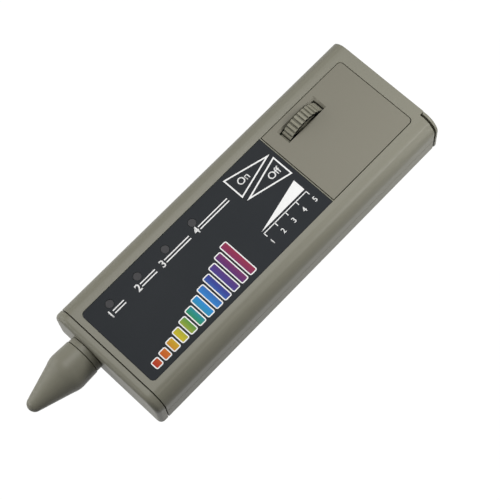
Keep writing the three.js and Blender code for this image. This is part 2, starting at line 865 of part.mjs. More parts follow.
function resistor([x, y]) {
  const height = boardTop + seatGap + resistorHeight;
  const body = rod("x", resistorRadius, around(x, resistorLength), [y, height]);
  const leadWidth = around(y, resistorLeadWidth);
  const lead = block(around(x, resistorSpan), leadWidth, around(height, resistorLeadWidth));
  const legs = [-1, 1].map((side) =>
    block(
      around(x + (side * (resistorSpan - resistorLeadWidth)) / 2, resistorLeadWidth),
      around(y, resistorLeadWidth),
      [boardTop + seatGap, height],
    ),
  );
  return joined([body, lead, ...legs]);
}

const transistorRadius = 2.3;
const transistorHeight = 4.6;
const transistorFlat = 1.2;
const transistorStandoff = 2;
const transistorLegWidth = 0.5;
const transistorLegPitch = 1.27;

function transistor([x, y]) {
  const bottom = boardTop + seatGap;
  const canBottom = bottom + transistorStandoff;
  const can = rod("z", transistorRadius, [canBottom, canBottom + transistorHeight], [x, y]);
  const face = block(
    around(x, 2 * transistorRadius + overrun),
    [y + transistorFlat, y + 2 * transistorRadius],
    [0, caseHeight],
  );
  const legs = [-1, 0, 1].map((side) =>
    block(
      around(x + side * transistorLegPitch, transistorLegWidth),
      around(y, transistorLegWidth),
      [bottom, bottom + transistorStandoff + seatGap],
    ),
  );
  return joined([can.subtract(face), ...legs]);
}

const buzzerRadius = 6;
const buzzerHeadroom = 1.8;
const buzzerHeight = labelUnderside - boardTop - buzzerHeadroom;
const buzzerHoleRadius = 1;
const buzzerHoleDepth = 2;

function buzzer(place) {
  const bottom = boardTop + seatGap;
  const top = bottom + buzzerHeight;
  const can = rod("z", buzzerRadius, [bottom, top], place, roundSteps);
  return can.subtract(rod("z", buzzerHoleRadius, [top - buzzerHoleDepth, top + overrun], place));
}

function boardScrew(place) {
  const seat = boardTop + seatGap;
  const head = rod("z", boardScrewHeadRadius, [seat, seat + boardScrewHeadThickness], place);
  return head.add(rod("z", boardScrewRadius, [seat - boardScrewLength, seat + seatGap], place));
}

const driveWidth = 0.8;
const driveDepth = 0.8;
const driveLengthShare = 0.75;

function caseScrew([x, y]) {
  const seat = caseScrewSink - seatGap;
  const bottom = seat - caseScrewHeadThickness;
  const head = rod("z", caseScrewHeadRadius, [bottom, seat], [x, y]);
  const shank = rod("z", caseScrewRadius, [seat - seatGap, seat + caseScrewLength - seatGap], [x, y]);
  const driveLength = 2 * caseScrewHeadRadius * driveLengthShare;
  const slots = [
    block(around(x, driveLength), around(y, driveWidth), [bottom - overrun, bottom + driveDepth]),
    block(around(x, driveWidth), around(y, driveLength), [bottom - overrun, bottom + driveDepth]),
  ];
  return head.add(shank).subtract(joined(slots));
}

// Battery and its clip
const padBottom = caseWall + seatGap;
const batteryBottom = padBottom + padThickness + seatGap;
const batteryMiddle = batteryBottom + batteryThickness / 2;
const snapSides = [batterySide - snapPitch / 2, batterySide + snapPitch / 2];
const snapEnd = batteryStart - seatGap - snapPlate;
const snapSocketWall = 1;

function batteryBlock() {
  const shape = roundedRectangle(
    around(batterySide, batteryWidth),
    [batteryBottom, batteryBottom + batteryThickness],
    [batteryCorner, batteryCorner, batteryCorner, batteryCorner],
  );
  const settings = { depth: batteryLength, bevelEnabled: false, curveSegments: cornerSteps / 2 };
  const geometry = new THREE.ExtrudeGeometry(shape, settings);
  return solidFrom(geometry.applyMatrix4(alongX).translate(batteryStart, 0, 0));
}

function batteryPad() {
  const inset = batteryCorner;
  return block(
    [batteryStart + inset, batteryStart + batteryLength - inset],
    around(batterySide, batteryWidth - 2 * inset),
    [padBottom, padBottom + padThickness],
  );
}

function batteryTerminals() {
  const [socketSide, studSide] = snapSides;
  const plate = block(
    [snapEnd, snapEnd + snapPlate],
    around(batterySide, snapPitch + 2 * snapSocketRadius + snapPlate),
    around(batteryMiddle, 2 * snapSocketRadius + snapPlate),
  );
  const span = [snapEnd - snapLength, snapEnd + seatGap];
  const stud = rod("x", snapStudRadius, span, [studSide, batteryMiddle]);
  const socket = rod("x", snapSocketRadius, span, [socketSide, batteryMiddle]);
  const bore = rod(
    "x",
    snapSocketRadius - snapSocketWall,
    [span[0] - overrun, snapEnd - seatGap],
    [socketSide, batteryMiddle],
  );
  return joined([plate, stud, socket]).subtract(bore);
}

const clipEnd = snapEnd - fitGap;
const clipStart = clipEnd - clipThickness;

function batteryClip() {
  const body = block(
    [clipStart, clipEnd],
    around(batterySide, clipLength),
    around(batteryMiddle, clipHeight),
  );
  const wells = [[snapStudRadius, snapSides[1]], [snapSocketRadius, snapSides[0]]].map(([radius, side]) =>
    rod("x", radius + fitGap, [clipEnd - snapLength, clipEnd + overrun], [side, batteryMiddle]),
  );
  return body.subtract(joined(wells));
}

const leadRadius = 0.6;
const leadSteps = 12;
const leadLift = 0.8;
const batteryLeadShares = [-0.2, 0.1];
const batteryLeadExit = 1.6;
const batteryLeadLanding = 4;
const batteryLeadBendShare = 0.3;
const batteryLeadDropShare = 0.7;
const batteryLeadSides = batteryLeadShares.map((share) => batterySide + share * batteryWidth);

function batteryLead(side) {
  const start = clipStart - seatGap;
  const landing = boardTop + leadRadius + seatGap;
  const run = start - boardEnd + batteryLeadLanding;
  const points = [
    [start, side, batteryMiddle + batteryLeadExit],
    [start - run * batteryLeadBendShare, side, batteryMiddle + batteryLeadExit + leadRadius / 2],
    [start - run * batteryLeadDropShare, side, landing + leadLift],
    [start - run, side, landing],
  ];
  return wire(points, leadRadius, leadSteps);
}

// Inlet jack in the rear cap
const jackFace = caseLength - seatGap;
const jackNutEnd = caseLength - rearCapThickness - seatGap;
const jackBodyEnd = jackNutEnd - jackNutThickness - seatGap;
const jackBodyStart = jackBodyEnd - jackBodyLength;
const jackPlace = [jackSide, axisHeight];
const jackPinStart = jackBodyStart - jackLugLength;
const jackLugThickness = 0.5;
const jackLugWidth = 2.5;
const jackLugInset = 1;
const jackLugHeight = axisHeight + jackNeckRadius - jackLugInset;

function jackBody() {
  const body = rod("x", jackBodyRadius, [jackBodyStart, jackBodyEnd], jackPlace, roundSteps);
  const neck = rod("x", jackNeckRadius, [jackBodyEnd - seatGap, jackFace], jackPlace, roundSteps);
  const bore = rod("x", jackBore, [jackFace - jackBoreDepth, caseLength + overrun], jackPlace, roundSteps);
  const pinHole = rod("x", jackPinRadius + fitGap, [jackBodyStart - overrun, jackFace], jackPlace);
  return body.add(neck).subtract(bore.add(pinHole));
}

function jackNut() {
  const nut = hexagonRod(jackNutRadius, [jackNutEnd - jackNutThickness, jackNutEnd], jackPlace);
  return nut.subtract(rod("x", jackNeckRadius + fitGap, [jackBodyStart, caseLength], jackPlace, roundSteps));
}

function jackPin() {
  return rod("x", jackPinRadius, [jackPinStart, jackFace - jackPinInset], jackPlace);
}

function jackLug() {
  return block(
    [jackPinStart, jackBodyStart - seatGap],
    around(jackSide, jackLugWidth),
    around(jackLugHeight, jackLugThickness),
  );
}

const jackLeadReach = 7;
const jackLeadLanding = boardTop + leadRadius + seatGap;
const jackLeadInsets = [2.4, 6.4];
const jackLeadSides = jackLeadInsets.map((inset) => boardArmInner + inset);
const jackLeadStraightShare = 0.12;
const jackLeadBendShare = 0.32;
const jackLeadDropShare = 0.7;
const jackLeadBendSideShare = 0.2;
const jackLeadDropSideShare = 0.8;

function jackLead(height, side) {
  const start = jackPinStart - seatGap;
  const across = side - jackSide;
  const points = [
    [start, jackSide, height],
    [start - jackLeadReach * jackLeadStraightShare, jackSide, height],
    [start - jackLeadReach * jackLeadBendShare, jackSide + across * jackLeadBendSideShare, height],
    [
      start - jackLeadReach * jackLeadDropShare,
      jackSide + across * jackLeadDropSideShare,
      jackLeadLanding + leadLift,
    ],
    [start - jackLeadReach, side, jackLeadLanding],
  ];
  return wire(points, leadRadius, leadSteps);
}

// Probe
function probeCollar() {
  const bore = barrelRadius + fitGap;
  const grooveLow = gripRingPlace - gripRingWidth / 2 - seatGap;
  const grooveHigh = gripRingPlace + gripRingWidth / 2 + seatGap;
  const grooveRadius = gripRingRadius - gripRingThickness - seatGap;
  return turned(
    [
      [bore, -collarTailLength],
      [collarTailRadius, -collarTailLength],
      [collarTailRadius, frontCapLength + fitGap],
      [neckRadius, frontCapLength + fitGap],
      [neckRadius, neckEnd - seatGap],
      [spigotRadius, neckEnd - seatGap],
      [spigotRadius, grooveLow],
      [grooveRadius, grooveLow],
      [grooveRadius, grooveHigh],
      [spigotRadius, grooveHigh],
      [spigotRadius, spigotEnd],
      [bore, spigotEnd],
      [bore, -collarTailLength],
    ],
    probeSide,
  );
}

function probeNut() {
  const near = frontCapLength - frontCapPlate - seatGap;
  const span = [-near, probeNutThickness - near];
  const nut = hexagonRod(probeNutRadius, span, [probeSide, axisHeight]);
  return nut.subtract(
    rod("x", collarTailRadius + fitGap, [-frontCapLength, caseLength], [probeSide, axisHeight], roundSteps),
  );
}

function probeBarrel() {
  return turned(
    [
      [barrelBore, -barrelRearEnd],
      [barrelRearRadius, -barrelRearEnd],
      [barrelRearRadius, -barrelStep],
      [barrelRadius, -barrelStep],
      [barrelRadius, barrelShoulder],
      [barrelNoseRadius, barrelEnd],
      [barrelNoseBore, barrelEnd],
      [barrelNoseBore, barrelEnd - barrelNoseWall],
      [barrelBore, barrelEnd - barrelNoseWall],
      [barrelBore, -barrelRearEnd],
    ],
    probeSide,
  );
}

function probeInsulator() {
  return turned(
    [
      [insulatorBore, -insulatorRear],
      [insulatorRadius, -insulatorRear],
      [insulatorRadius, insulatorFront],
      [insulatorBore, insulatorFront],
      [insulatorBore, -insulatorRear],
    ],
    probeSide,
    smallRoundSteps,
  );
}

const flangeEnd = barrelEnd - barrelNoseWall - fitGap;
const flangeStart = flangeEnd - tipFlangeLength;
const tipTailEnd = insulatorFront - fitGap;

function probeTip() {
  return turned(
    [
      [0, tipTailEnd],
      [tipTailRadius, tipTailEnd],
      [tipTailRadius, flangeStart],
      [tipFlangeRadius, flangeStart],
      [tipFlangeRadius, flangeEnd],
      [tipRadius, flangeEnd],
      [tipRadius, tipEnd - tipPointLength],
      [tipPointRadius, tipEnd],
      [0, tipEnd],
    ],
    probeSide,
    smallRoundSteps,
  );
}

function probeHeater() {
  const end = tipTailEnd - seatGap;
  return turned(
    [[0, end - heaterLength], [heaterRadius, end - heaterLength], [heaterRadius, end], [0, end]],
    probeSide,
    smallRoundSteps,
  );
}

// The spring's wire follows one helix from the insulator to the tip's flange.
function probeSpring() {
  const start = insulatorFront + springWire + seatGap;
  const length = flangeStart - springWire - seatGap - start;
  const steps = springCurls * springCurlSteps;
  const middle = new THREE.Vector3(0, probeSide, axisHeight);
  const positions = [];
  const pitchSlope = length / (2 * Math.PI * springRadius * springCurls);
  for (let step = 0; step <= steps; step += 1) {
    const angle = (2 * Math.PI * step) / springCurlSteps;
    const out = new THREE.Vector3(0, Math.cos(angle), Math.sin(angle));
    const centre = out.clone().multiplyScalar(springRadius).add(middle);
    centre.x = -start - (length * step) / steps;
    const along = new THREE.Vector3(-pitchSlope, -Math.sin(angle), Math.cos(angle)).normalize();
    const side = new THREE.Vector3().crossVectors(along, out);
    for (let corner = 0; corner < springWireSides; corner += 1) {
      const turn = (2 * Math.PI * corner) / springWireSides;
      const point = centre.clone();
      point.addScaledVector(out, springWire * Math.cos(turn));
      point.addScaledVector(side, springWire * Math.sin(turn));
      positions.push(point.x, point.y, point.z);
    }
  }
  const faces = [];
  for (let step = 0; step < steps; step += 1) {
    for (let corner = 0; corner < springWireSides; corner += 1) {
      const next = (corner + 1) % springWireSides;
      const [a, b] = [step * springWireSides + corner, step * springWireSides + next];
      const [c, d] = [a + springWireSides, b + springWireSides];
      faces.push(a, b, c, b, d, c);
    }
  }
  for (let corner = 1; corner < springWireSides - 1; corner += 1) {
    const last = steps * springWireSides;
    faces.push(0, corner + 1, corner);
    faces.push(last, last + corner, last + corner + 1);
  }
  const geometry = new THREE.BufferGeometry();
  geometry.setAttribute("position", new THREE.Float32BufferAttribute(positions, 3));
  geometry.setIndex(faces);
  return solidFrom(geometry);
}

const probeLeadSide = 0.5;
const probeLeadRise = 1;
const probeLeadReach = 27;
const probeLeadStraightShares = [0, 0.25, 0.5, 0.65];
const probeLeadSteps = 36;

function probeLead(side) {
  const start = -probeLeadStart;
  const length = probeLeadReach - start;
  const y = probeSide + side * probeLeadSide;
  const straight = probeLeadStraightShares.map((share) => [start + share * length, y, axisHeight]);
  const landing = boardTop + probeLeadRadius + seatGap;
  const crest = Math.max(axisHeight, landing) + fitGap;
  const points = [
    ...straight,
    [barrelRearEnd, y + side * fitGap, crest],
    [boardNotchEnd, y + 2 * side * fitGap, crest + seatGap],
    [probeLeadReach, y + side * probeLeadRise, landing],
  ];
  return wire(points, probeLeadRadius, probeLeadSteps);
}

function gripRing() {
  const inner = gripRingRadius - gripRingThickness;
  const low = gripRingPlace - gripRingWidth / 2;
  const high = gripRingPlace + gripRingWidth / 2;
  return turned(
    [[inner, low], [gripRingRadius, low], [gripRingRadius, high], [inner, high], [inner, low]],
    probeSide,
  );
}

// Probe cap: a belly, a soft shoulder, a straight cone and a round tip.
const capBoreRadius = spigotRadius + fitGap;
const capShoulderSteps = 5;
const capTipSteps = 6;
const capTipCentre = capEnd - capTipRadius;

function capConeRadius(place) {
  return capShoulderRadius - (place - capShoulderPlace) * Math.tan(capConeAngle);
}

function probeCap() {
  const profile = [[capBoreRadius, capStart], [capMouthRadius, capStart]];
  for (let step = 0; step <= capShoulderSteps; step += 1) {
    const share = step / capShoulderSteps;
    const place = capBellyPlace + share * (capShoulderPlace - capBellyPlace);
    const drop = capBellyRadius - capShoulderRadius;
    profile.push([capBellyRadius - drop * share ** 2, place]);
  }
  for (let step = 0; step <= capTipSteps; step += 1) {
    const angle = capConeAngle + (step / capTipSteps) * (Math.PI / 2 - capConeAngle);
    const radius = step === capTipSteps ? 0 : capTipRadius * Math.cos(angle);
    profile.push([radius, capTipCentre + capTipRadius * Math.sin(angle)]);
  }
  profile.push([0, capHollowEnd]);
  profile.push([capConeRadius(capHollowEnd) - capWall, capHollowEnd]);
  profile.push([capConeRadius(capShoulderPlace) - capWall, capShoulderPlace]);
  profile.push([capBoreRadius, capStart + capBoreDepth]);
  profile.push([capBoreRadius, capStart]);
  return turned(profile, probeSide);
}

// Materials
const shellGrey = 0x918e80;
const finishes = {
  shell: { color: shellGrey, roughness: 0.62, metalness: 0 },
  door: { color: 0x8b887a, roughness: 0.6, metalness: 0 },
  label: { color: 0x353638, roughness: 0.5, metalness: 0 },
  lamp: { color: 0x4a4a4c, roughness: 0.25, metalness: 0 },
  switchPlastic: { color: 0x1c1c1e, roughness: 0.5, metalness: 0 },
  board: { color: 0x1f5a3a, roughness: 0.55, metalness: 0 },
  chip: { color: 0x18181a, roughness: 0.5, metalness: 0 },
  capacitor: { color: 0x23324f, roughness: 0.4, metalness: 0 },
  resistor: { color: 0xb99a6b, roughness: 0.5, metalness: 0 },
  steel: { color: 0xa5a7aa, roughness: 0.35, metalness: 1 },
  copper: { color: 0xb4673f, roughness: 0.3, metalness: 1 },
  brass: { color: 0xb69a54, roughness: 0.35, metalness: 1 },
  battery: { color: 0x2d3136, roughness: 0.4, metalness: 0 },
  foam: { color: 0x303030, roughness: 0.95, metalness: 0 },
  redWire: { color: 0xa01d1d, roughness: 0.5, metalness: 0 },
  blackWire: { color: 0x161616, roughness: 0.5, metalness: 0 },
  ceramic: { color: 0xe0dcd0, roughness: 0.6, metalness: 0 },
  rubber: { color: 0x1d1d1d, roughness: 0.85, metalness: 0 },
};

const materials = Object.fromEntries(
  Object.entries(finishes).map(([name, values]) => [name, new THREE.MeshStandardMaterial(values)]),
);

function piece(name, solid, finish) {
  const mesh = new THREE.Mesh(geometryFrom(solid), materials[finish]);
  mesh.name = name;
  return mesh;
}

// Assembly
// Places on the board, as shares of its length and of its half width
const chipShares = { amplifier_chip: [0.377, -0.3], comparator_chip: [0.558, -0.6] };
const capacitorShares = [[0.4975, 0.2], [0.819, -0.4]];
const resistorShares = [[0.377, 0.2], [0.578, 0.4]];
const transistorShares = [0.437, 0.4];
const buzzerShares = [0.6985, -0.1];

function onBoard([lengthShare, sideShare]) {
  return [boardStart + lengthShare * boardLength, sideShare * boardHalfWidth];
}

function casePieces() {
  return [
    piece("upper_shell", upperShell(), "shell"),
    piece("lower_shell", lowerShell(), "shell"),
    piece("front_cap", frontCap(), "shell"),
    piece("rear_cap", rearCap(), "shell"),
    piece("battery_door", batteryDoor(), "door"),
    ...caseScrewPlaces.map((place, index) => piece(`case_screw_${index + 1}`, caseScrew(place), "steel")),
  ];
}

function labelPieces() {
  return [
    piece("label_overlay", labelOverlay(), "label"),
    piece("on_key", key(onKeyCorners), "label"),
    piece("off_key", key(offKeyCorners), "label"),
    piece("on_switch", tactSwitch(onKeyCorners), "switchPlastic"),
    piece("off_switch", tactSwitch(offKeyCorners), "switchPlastic"),
    piece("on_plunger", plunger(onKeyCorners), "ceramic"),
    piece("off_plunger", plunger(offKeyCorners), "ceramic"),
    ...lampPositions.map((x, index) => piece(`indicator_lamp_${index + 1}`, indicatorLamp(x), "lamp")),
  ];
}

function boardPieces() {
  return [
    piece("main_board", mainBoard(), "board"),
    ...Object.entries(chipShares).map(([name, shares]) => piece(name, chip(onBoard(shares)), "chip")),
    ...capacitorShares.map((shares, index) =>
      piece(`capacitor_${index + 1}`, capacitor(onBoard(shares)), "capacitor"),
    ),
    ...resistorShares.map((shares, index) =>
      piece(`resistor_${index + 1}`, resistor(onBoard(shares)), "resistor"),
    ),
    piece("transistor", transistor(onBoard(transistorShares)), "chip"),
    piece("buzzer", buzzer(onBoard(buzzerShares)), "chip"),
    ...boardScrewPlaces.map((place, index) => piece(`board_screw_${index + 1}`, boardScrew(place), "steel")),
  ];
}

function wheelPieces() {
  return [
    piece("thumbwheel", thumbwheel(), "shell"),
    piece("wheel_shaft", wheelShaft(), "steel"),
    piece("thumbwheel_screw", thumbwheelScrew(), "steel"),
    piece("pot_body", potBody(), "switchPlastic"),
  ];
}

function batteryPieces() {
  return [
    piece("battery", batteryBlock(), "battery"),
    piece("battery_terminals", batteryTerminals(), "steel"),
    piece("battery_clip", batteryClip(), "switchPlastic"),
    piece("battery_pad", batteryPad(), "foam"),
    piece("battery_lead_red", batteryLead(batteryLeadSides[1]), "redWire"),
    piece("battery_lead_black", batteryLead(batteryLeadSides[0]), "blackWire"),
  ];
}

function jackPieces() {
  return [
    piece("jack_body", jackBody(), "switchPlastic"),
    piece("jack_nut", jackNut(), "steel"),
    piece("jack_pin", jackPin(), "brass"),
    piece("jack_lug", jackLug(), "brass"),
    piece("jack_lead_red", jackLead(axisHeight, jackLeadSides[0]), "redWire"),
    piece("jack_lead_black", jackLead(jackLugHeight, jackLeadSides[1]), "blackWire"),
  ];
}

function probePieces() {
  return [
    piece("probe_collar", probeCollar(), "shell"),
    piece("probe_nut", probeNut(), "brass"),
    piece("probe_barrel", probeBarrel(), "steel"),
    piece("probe_insulator", probeInsulator(), "ceramic"),
    piece("probe_spring", probeSpring(), "steel"),
    piece("probe_tip", probeTip(), "copper"),
    piece("probe_heater", probeHeater(), "ceramic"),
    piece("probe_lead_red", probeLead(1), "redWire"),
    piece("probe_lead_black", probeLead(-1), "blackWire"),
    piece("cap_grip_ring", gripRing(), "rubber"),
    piece("probe_cap", probeCap(), "shell"),
  ];
}

const tester = new THREE.Group();
tester.add(...casePieces(), ...labelPieces(), ...boardPieces(), ...wheelPieces());
tester.add(...batteryPieces(), ...jackPieces(), ...probePieces());
tester.position.x = (capEnd - caseLength) / 2;

export default tester;
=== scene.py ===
# %% [markdown]
# # A handheld gemstone tester
# This notebook dresses a finished construction of a small grey tester: a flat moulded case, a
# cone-shaped probe cap, a printed label with two triangular keys, and a battery door with a
# thumbwheel in it. The construction gives every size and every moving body. Here each visible
# piece is modelled again with smooth forms, and every surface gets its finish.

# %% Load the frame
import math

import bpy
from mathutils import Matrix, Vector


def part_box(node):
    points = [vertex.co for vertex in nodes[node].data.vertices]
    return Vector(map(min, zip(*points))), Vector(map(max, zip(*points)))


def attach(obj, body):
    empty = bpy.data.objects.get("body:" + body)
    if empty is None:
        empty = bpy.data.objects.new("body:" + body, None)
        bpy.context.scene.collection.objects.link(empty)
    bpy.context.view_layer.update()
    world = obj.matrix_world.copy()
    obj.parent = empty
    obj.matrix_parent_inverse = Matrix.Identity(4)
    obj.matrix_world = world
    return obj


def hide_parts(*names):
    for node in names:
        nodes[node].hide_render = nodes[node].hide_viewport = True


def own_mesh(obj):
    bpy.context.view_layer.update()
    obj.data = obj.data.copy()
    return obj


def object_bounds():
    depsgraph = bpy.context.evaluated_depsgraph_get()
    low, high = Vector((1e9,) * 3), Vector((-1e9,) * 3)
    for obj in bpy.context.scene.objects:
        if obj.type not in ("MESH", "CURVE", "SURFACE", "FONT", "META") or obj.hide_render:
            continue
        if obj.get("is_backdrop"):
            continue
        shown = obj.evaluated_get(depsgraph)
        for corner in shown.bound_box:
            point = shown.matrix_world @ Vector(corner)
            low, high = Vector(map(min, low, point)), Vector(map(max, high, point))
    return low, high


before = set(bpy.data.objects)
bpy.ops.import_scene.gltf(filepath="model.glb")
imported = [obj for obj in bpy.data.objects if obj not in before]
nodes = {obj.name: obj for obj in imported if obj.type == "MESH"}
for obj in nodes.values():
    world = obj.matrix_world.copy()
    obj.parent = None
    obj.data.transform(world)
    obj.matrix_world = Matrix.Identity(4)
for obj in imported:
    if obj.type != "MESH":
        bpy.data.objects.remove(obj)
frame_low, frame_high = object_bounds()

# %% [markdown]
# ## Sizes
# Lengths are in metres, so one named millimetre keeps the numbers readable. Places along the case
# are counted from the seam behind the front cap, because that is where the real shells begin.
# Sizes that the frame already holds are read from it rather than typed again.

# %% Driving sizes
MM = 0.001
shell_low, shell_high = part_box("upper_shell")
door_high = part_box("battery_door")[1]
label_low, label_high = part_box("label_overlay")
lower_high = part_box("lower_shell")[1]
front_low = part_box("front_cap")[0]
rear_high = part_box("rear_cap")[1]
wheel_low, wheel_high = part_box("thumbwheel")
half_gap = 0.15 * MM
seam = shell_low.x - half_gap
case_top = shell_high.z
case_half_width = shell_high.y
top_radius = 7.6 * MM
bottom_radius = 3 * MM
least_radius = 0.2 * MM
wall = 2 * MM
fit_gap = 0.3 * MM
edge_break = 0.25 * MM
overrun = 1 * MM
merge_distance = 0.001 * MM


def along(millimetres):
    """Place on the case's length, counted from the seam in millimetres."""
    return seam + millimetres * MM


print("case", [round(v / MM, 1) for v in (2 * case_half_width, case_top, rear_high.x - front_low.x)])

# %% [markdown]
# ## Shader maths
# A material in Blender is a graph of nodes. Writing `noise * 0.2 + 0.9` is easier to read than
# placing two Math nodes by hand, so a small class wraps a socket and turns each operator into a
# Math node. Everything else comes from one method that takes a node's type, settings and inputs.
# The same graph serves materials and the world, and a finish is a graph that belongs to a material.

# %% Signals and finishes
class Signal:
    """A value on its way through a material."""

    def __init__(self, finish, socket):
        self.finish = finish
        self.socket = socket

    def maths(self, operation, first, second):
        return self.finish.add("ShaderNodeMath", {"operation": operation}, {0: first, 1: second})

    def __add__(self, other):
        return self.maths("ADD", self, other)

    def __radd__(self, other):
        return self.maths("ADD", other, self)

    def __sub__(self, other):
        return self.maths("SUBTRACT", self, other)

    def __rsub__(self, other):
        return self.maths("SUBTRACT", other, self)

    def __mul__(self, other):
        return self.maths("MULTIPLY", self, other)

    def __rmul__(self, other):
        return self.maths("MULTIPLY", other, self)

    def __gt__(self, other):
        return self.maths("GREATER_THAN", self, other)


# The Mix node keeps its number, vector and colour sockets side by side; these are the colour ones.
mix_share = 0
mix_first = 6
mix_second = 7
mix_result = 2


class Graph:
    """A tree of shader nodes."""

    def __init__(self, tree):
        self.tree = tree
        self.tree.nodes.clear()

    def add(self, kind, settings, inputs, output=0):
        node = self.tree.nodes.new(kind)
        for name, value in settings.items():
            if name == "stops":
                self.set_stops(node.color_ramp, value)
            else:
                setattr(node, name, value)
        for key, value in inputs.items():
            if isinstance(value, Signal):
                self.tree.links.new(value.socket, node.inputs[key])
            else:
                node.inputs[key].default_value = value
        return Signal(self, node.outputs[output])

    def set_stops(self, ramp, stops):
        while len(ramp.elements) < len(stops):
            ramp.elements.new(1)
        for element, (position, colour) in zip(ramp.elements, stops):
            element.position = position
            element.color = colour

    def place(self, scale=(1, 1, 1), turn=(0, 0, 0), shift=(0, 0, 0)):
        raw = self.add("ShaderNodeTexCoord", {}, {}, "Object")
        inputs = {"Vector": raw, "Scale": scale, "Rotation": turn, "Location": shift}
        return self.add("ShaderNodeMapping", {}, inputs)

    def noise(self, scale, detail=2, place=None):
        inputs = {"Vector": place or self.place(), "Scale": scale, "Detail": detail}
        return self.add("ShaderNodeTexNoise", {}, inputs)

    def blend(self, share, first, second):
        inputs = {mix_share: share, mix_first: first, mix_second: second}
        return self.add("ShaderNodeMix", {"data_type": "RGBA"}, inputs, mix_result)

    def bump(self, height, depth, strength=1):
        inputs = {"Height": height, "Distance": depth, "Strength": strength}
        return self.add("ShaderNodeBump", {}, inputs, "Normal")

    def end(self, shader, kind="ShaderNodeOutputMaterial"):
        output = self.tree.nodes.new(kind)
        self.tree.links.new(shader.socket, output.inputs["Surface"])


class Finish(Graph):
    """One material, built as a graph that ends in a Principled surface."""

    def __init__(self, name):
        self.material = bpy.data.materials.new(name)
        self.material.use_nodes = True
        super().__init__(self.material.node_tree)

    def surface(self, **inputs):
        named = {key.replace("_", " ").title().replace("Ior", "IOR"): value for key, value in inputs.items()}
        self.end(self.add("ShaderNodeBsdfPrincipled", {}, named))
        return self.material


print("shader maths is ready")

# %% [markdown]
# ## Colours
# The colours were matched to a photograph of a real tester, by comparing renders with it. Blender
# wants linear values, so one helper turns the familiar 0 to 255 numbers into them. Nothing real is
# one even colour or one even gloss, so two more let a pattern move a colour and a number a little.

# %% Colour and texture helpers
def linear(red, green, blue):
    """A screen colour as the linear colour that shaders work in."""
    values = [value / 255 for value in (red, green, blue)]
    curved = [v / 12.92 if v <= 0.04045 else ((v + 0.055) / 1.055) ** 2.4 for v in values]
    return (*curved, 1)


def shade(colour, share):
    """The same colour, lighter or darker by a share."""
    return (*[min(1, value * share) for value in colour[:3]], 1)


def mottle(finish, pattern, colour, dark, light):
    """A colour that a pattern takes between a darker and a lighter share of itself."""
    return finish.blend(pattern, shade(colour, dark), shade(colour, light))


def wander(pattern, low, reach):
    """A number that a pattern takes from a low value up by its reach."""
    return pattern * reach + low


case_colour = linear(129, 127, 112)
door_colour = linear(126, 123, 109)
print("case colour", [round(value, 3) for value in case_colour])

# %% [markdown]
# ## Moulded plastic
# The case is a hard plastic moulded against a spark-eroded tool, which leaves a very fine, even
# grain. Seen from a step away it is matt with a soft sheen where it curves. Two noises make it:
# a slow one for the cloudiness of the mix, and a fast one for the grain's colour, which is also a
# tiny bump. Both move the roughness a little, so no surface is evenly matt.

# %% Case plastics
cloud_scale = 38
grain_scale = 2600
grain_detail = 3
grain_dark = 0.86
grain_light = 1.12
grain_share = 0.35
cloud_polish = 0.1
grain_polish = 0.06
# A colour under painted shade goes towards this share of itself.
painted_shade_darkness = 0.1


def moulded(name, colour, roughness, grain=0.012 * MM, clouds=0.04, painted_shade=None, specular=0.38):
    """Grained plastic. The painted shade, if any, is a rule that gives its share from the finish."""
    finish = Finish(name)
    cloud = finish.noise(cloud_scale, grain_detail)
    grain_noise = finish.noise(grain_scale, grain_detail)
    tone = mottle(finish, cloud, colour, dark=1 - clouds, light=1 + clouds)
    fleck = mottle(finish, grain_noise, colour, dark=grain_dark, light=grain_light)
    mixed = finish.blend(grain_share, tone, fleck)
    # Painted shade: where the rule gives a share, the colour goes towards a tenth of itself.
    if painted_shade:
        mixed = finish.blend(painted_shade(finish), mixed, shade(colour, painted_shade_darkness))
    polish = wander(cloud, low=roughness - cloud_polish / 2, reach=cloud_polish)
    return finish.surface(
        base_color=mixed,
        roughness=polish + grain_noise * grain_polish,
        specular_ior_level=specular,
        normal=finish.bump(grain_noise, grain),
    )


case_plastic = moulded("case_plastic", case_colour, 0.4)
door_plastic = moulded("door_plastic", door_colour, 0.5)
black_plastic = moulded("black_plastic", linear(30, 30, 32), 0.42)
white_plastic = moulded("white_plastic", linear(222, 219, 208), 0.4)
print("case plastics ready")

# %% [markdown]
# ## Printed film
# The label is a polycarbonate film, printed on its back in a very dark blue grey. Its face has a
# velvet texture that scatters the light, so black looks like slate. A fine bump, a slightly
# uneven roughness and a low specular level do that.

# %% Label film and inks
velvet_scale = 3400
velvet_depth = 0.01 * MM
smear_scale = 24
ink_screen_scale = 5200


def label_film(name, colour):
    finish = Finish(name)
    velvet = finish.noise(velvet_scale, 2)
    smears = finish.noise(smear_scale, 4)
    tone = mottle(finish, velvet, colour, dark=0.8, light=1.25)
    return finish.surface(
        base_color=tone,
        roughness=wander(smears, low=0.42, reach=0.12),
        specular_ior_level=0.12,
        normal=finish.bump(velvet, velvet_depth),
    )


def printed_ink(name, colour):
    finish = Finish(name)
    screen = finish.noise(ink_screen_scale, 1)
    tone = mottle(finish, screen, colour, dark=0.96, light=1.04)
    return finish.surface(base_color=tone, roughness=wander(screen, low=0.4, reach=0.1))


film = label_film("label_film", linear(28, 32, 36))
white_ink = printed_ink("white_ink", linear(252, 252, 250))
print("film and inks ready")

# %% [markdown]
# ## Rainbow ink
# The coloured meter on the label runs through the whole rainbow along the case. One ramp over the
# length of the piece does it, so neighbouring bars blend as a printed gradient does. The ramp is
# read along X from Object coordinates, which here are the same as places on the case.

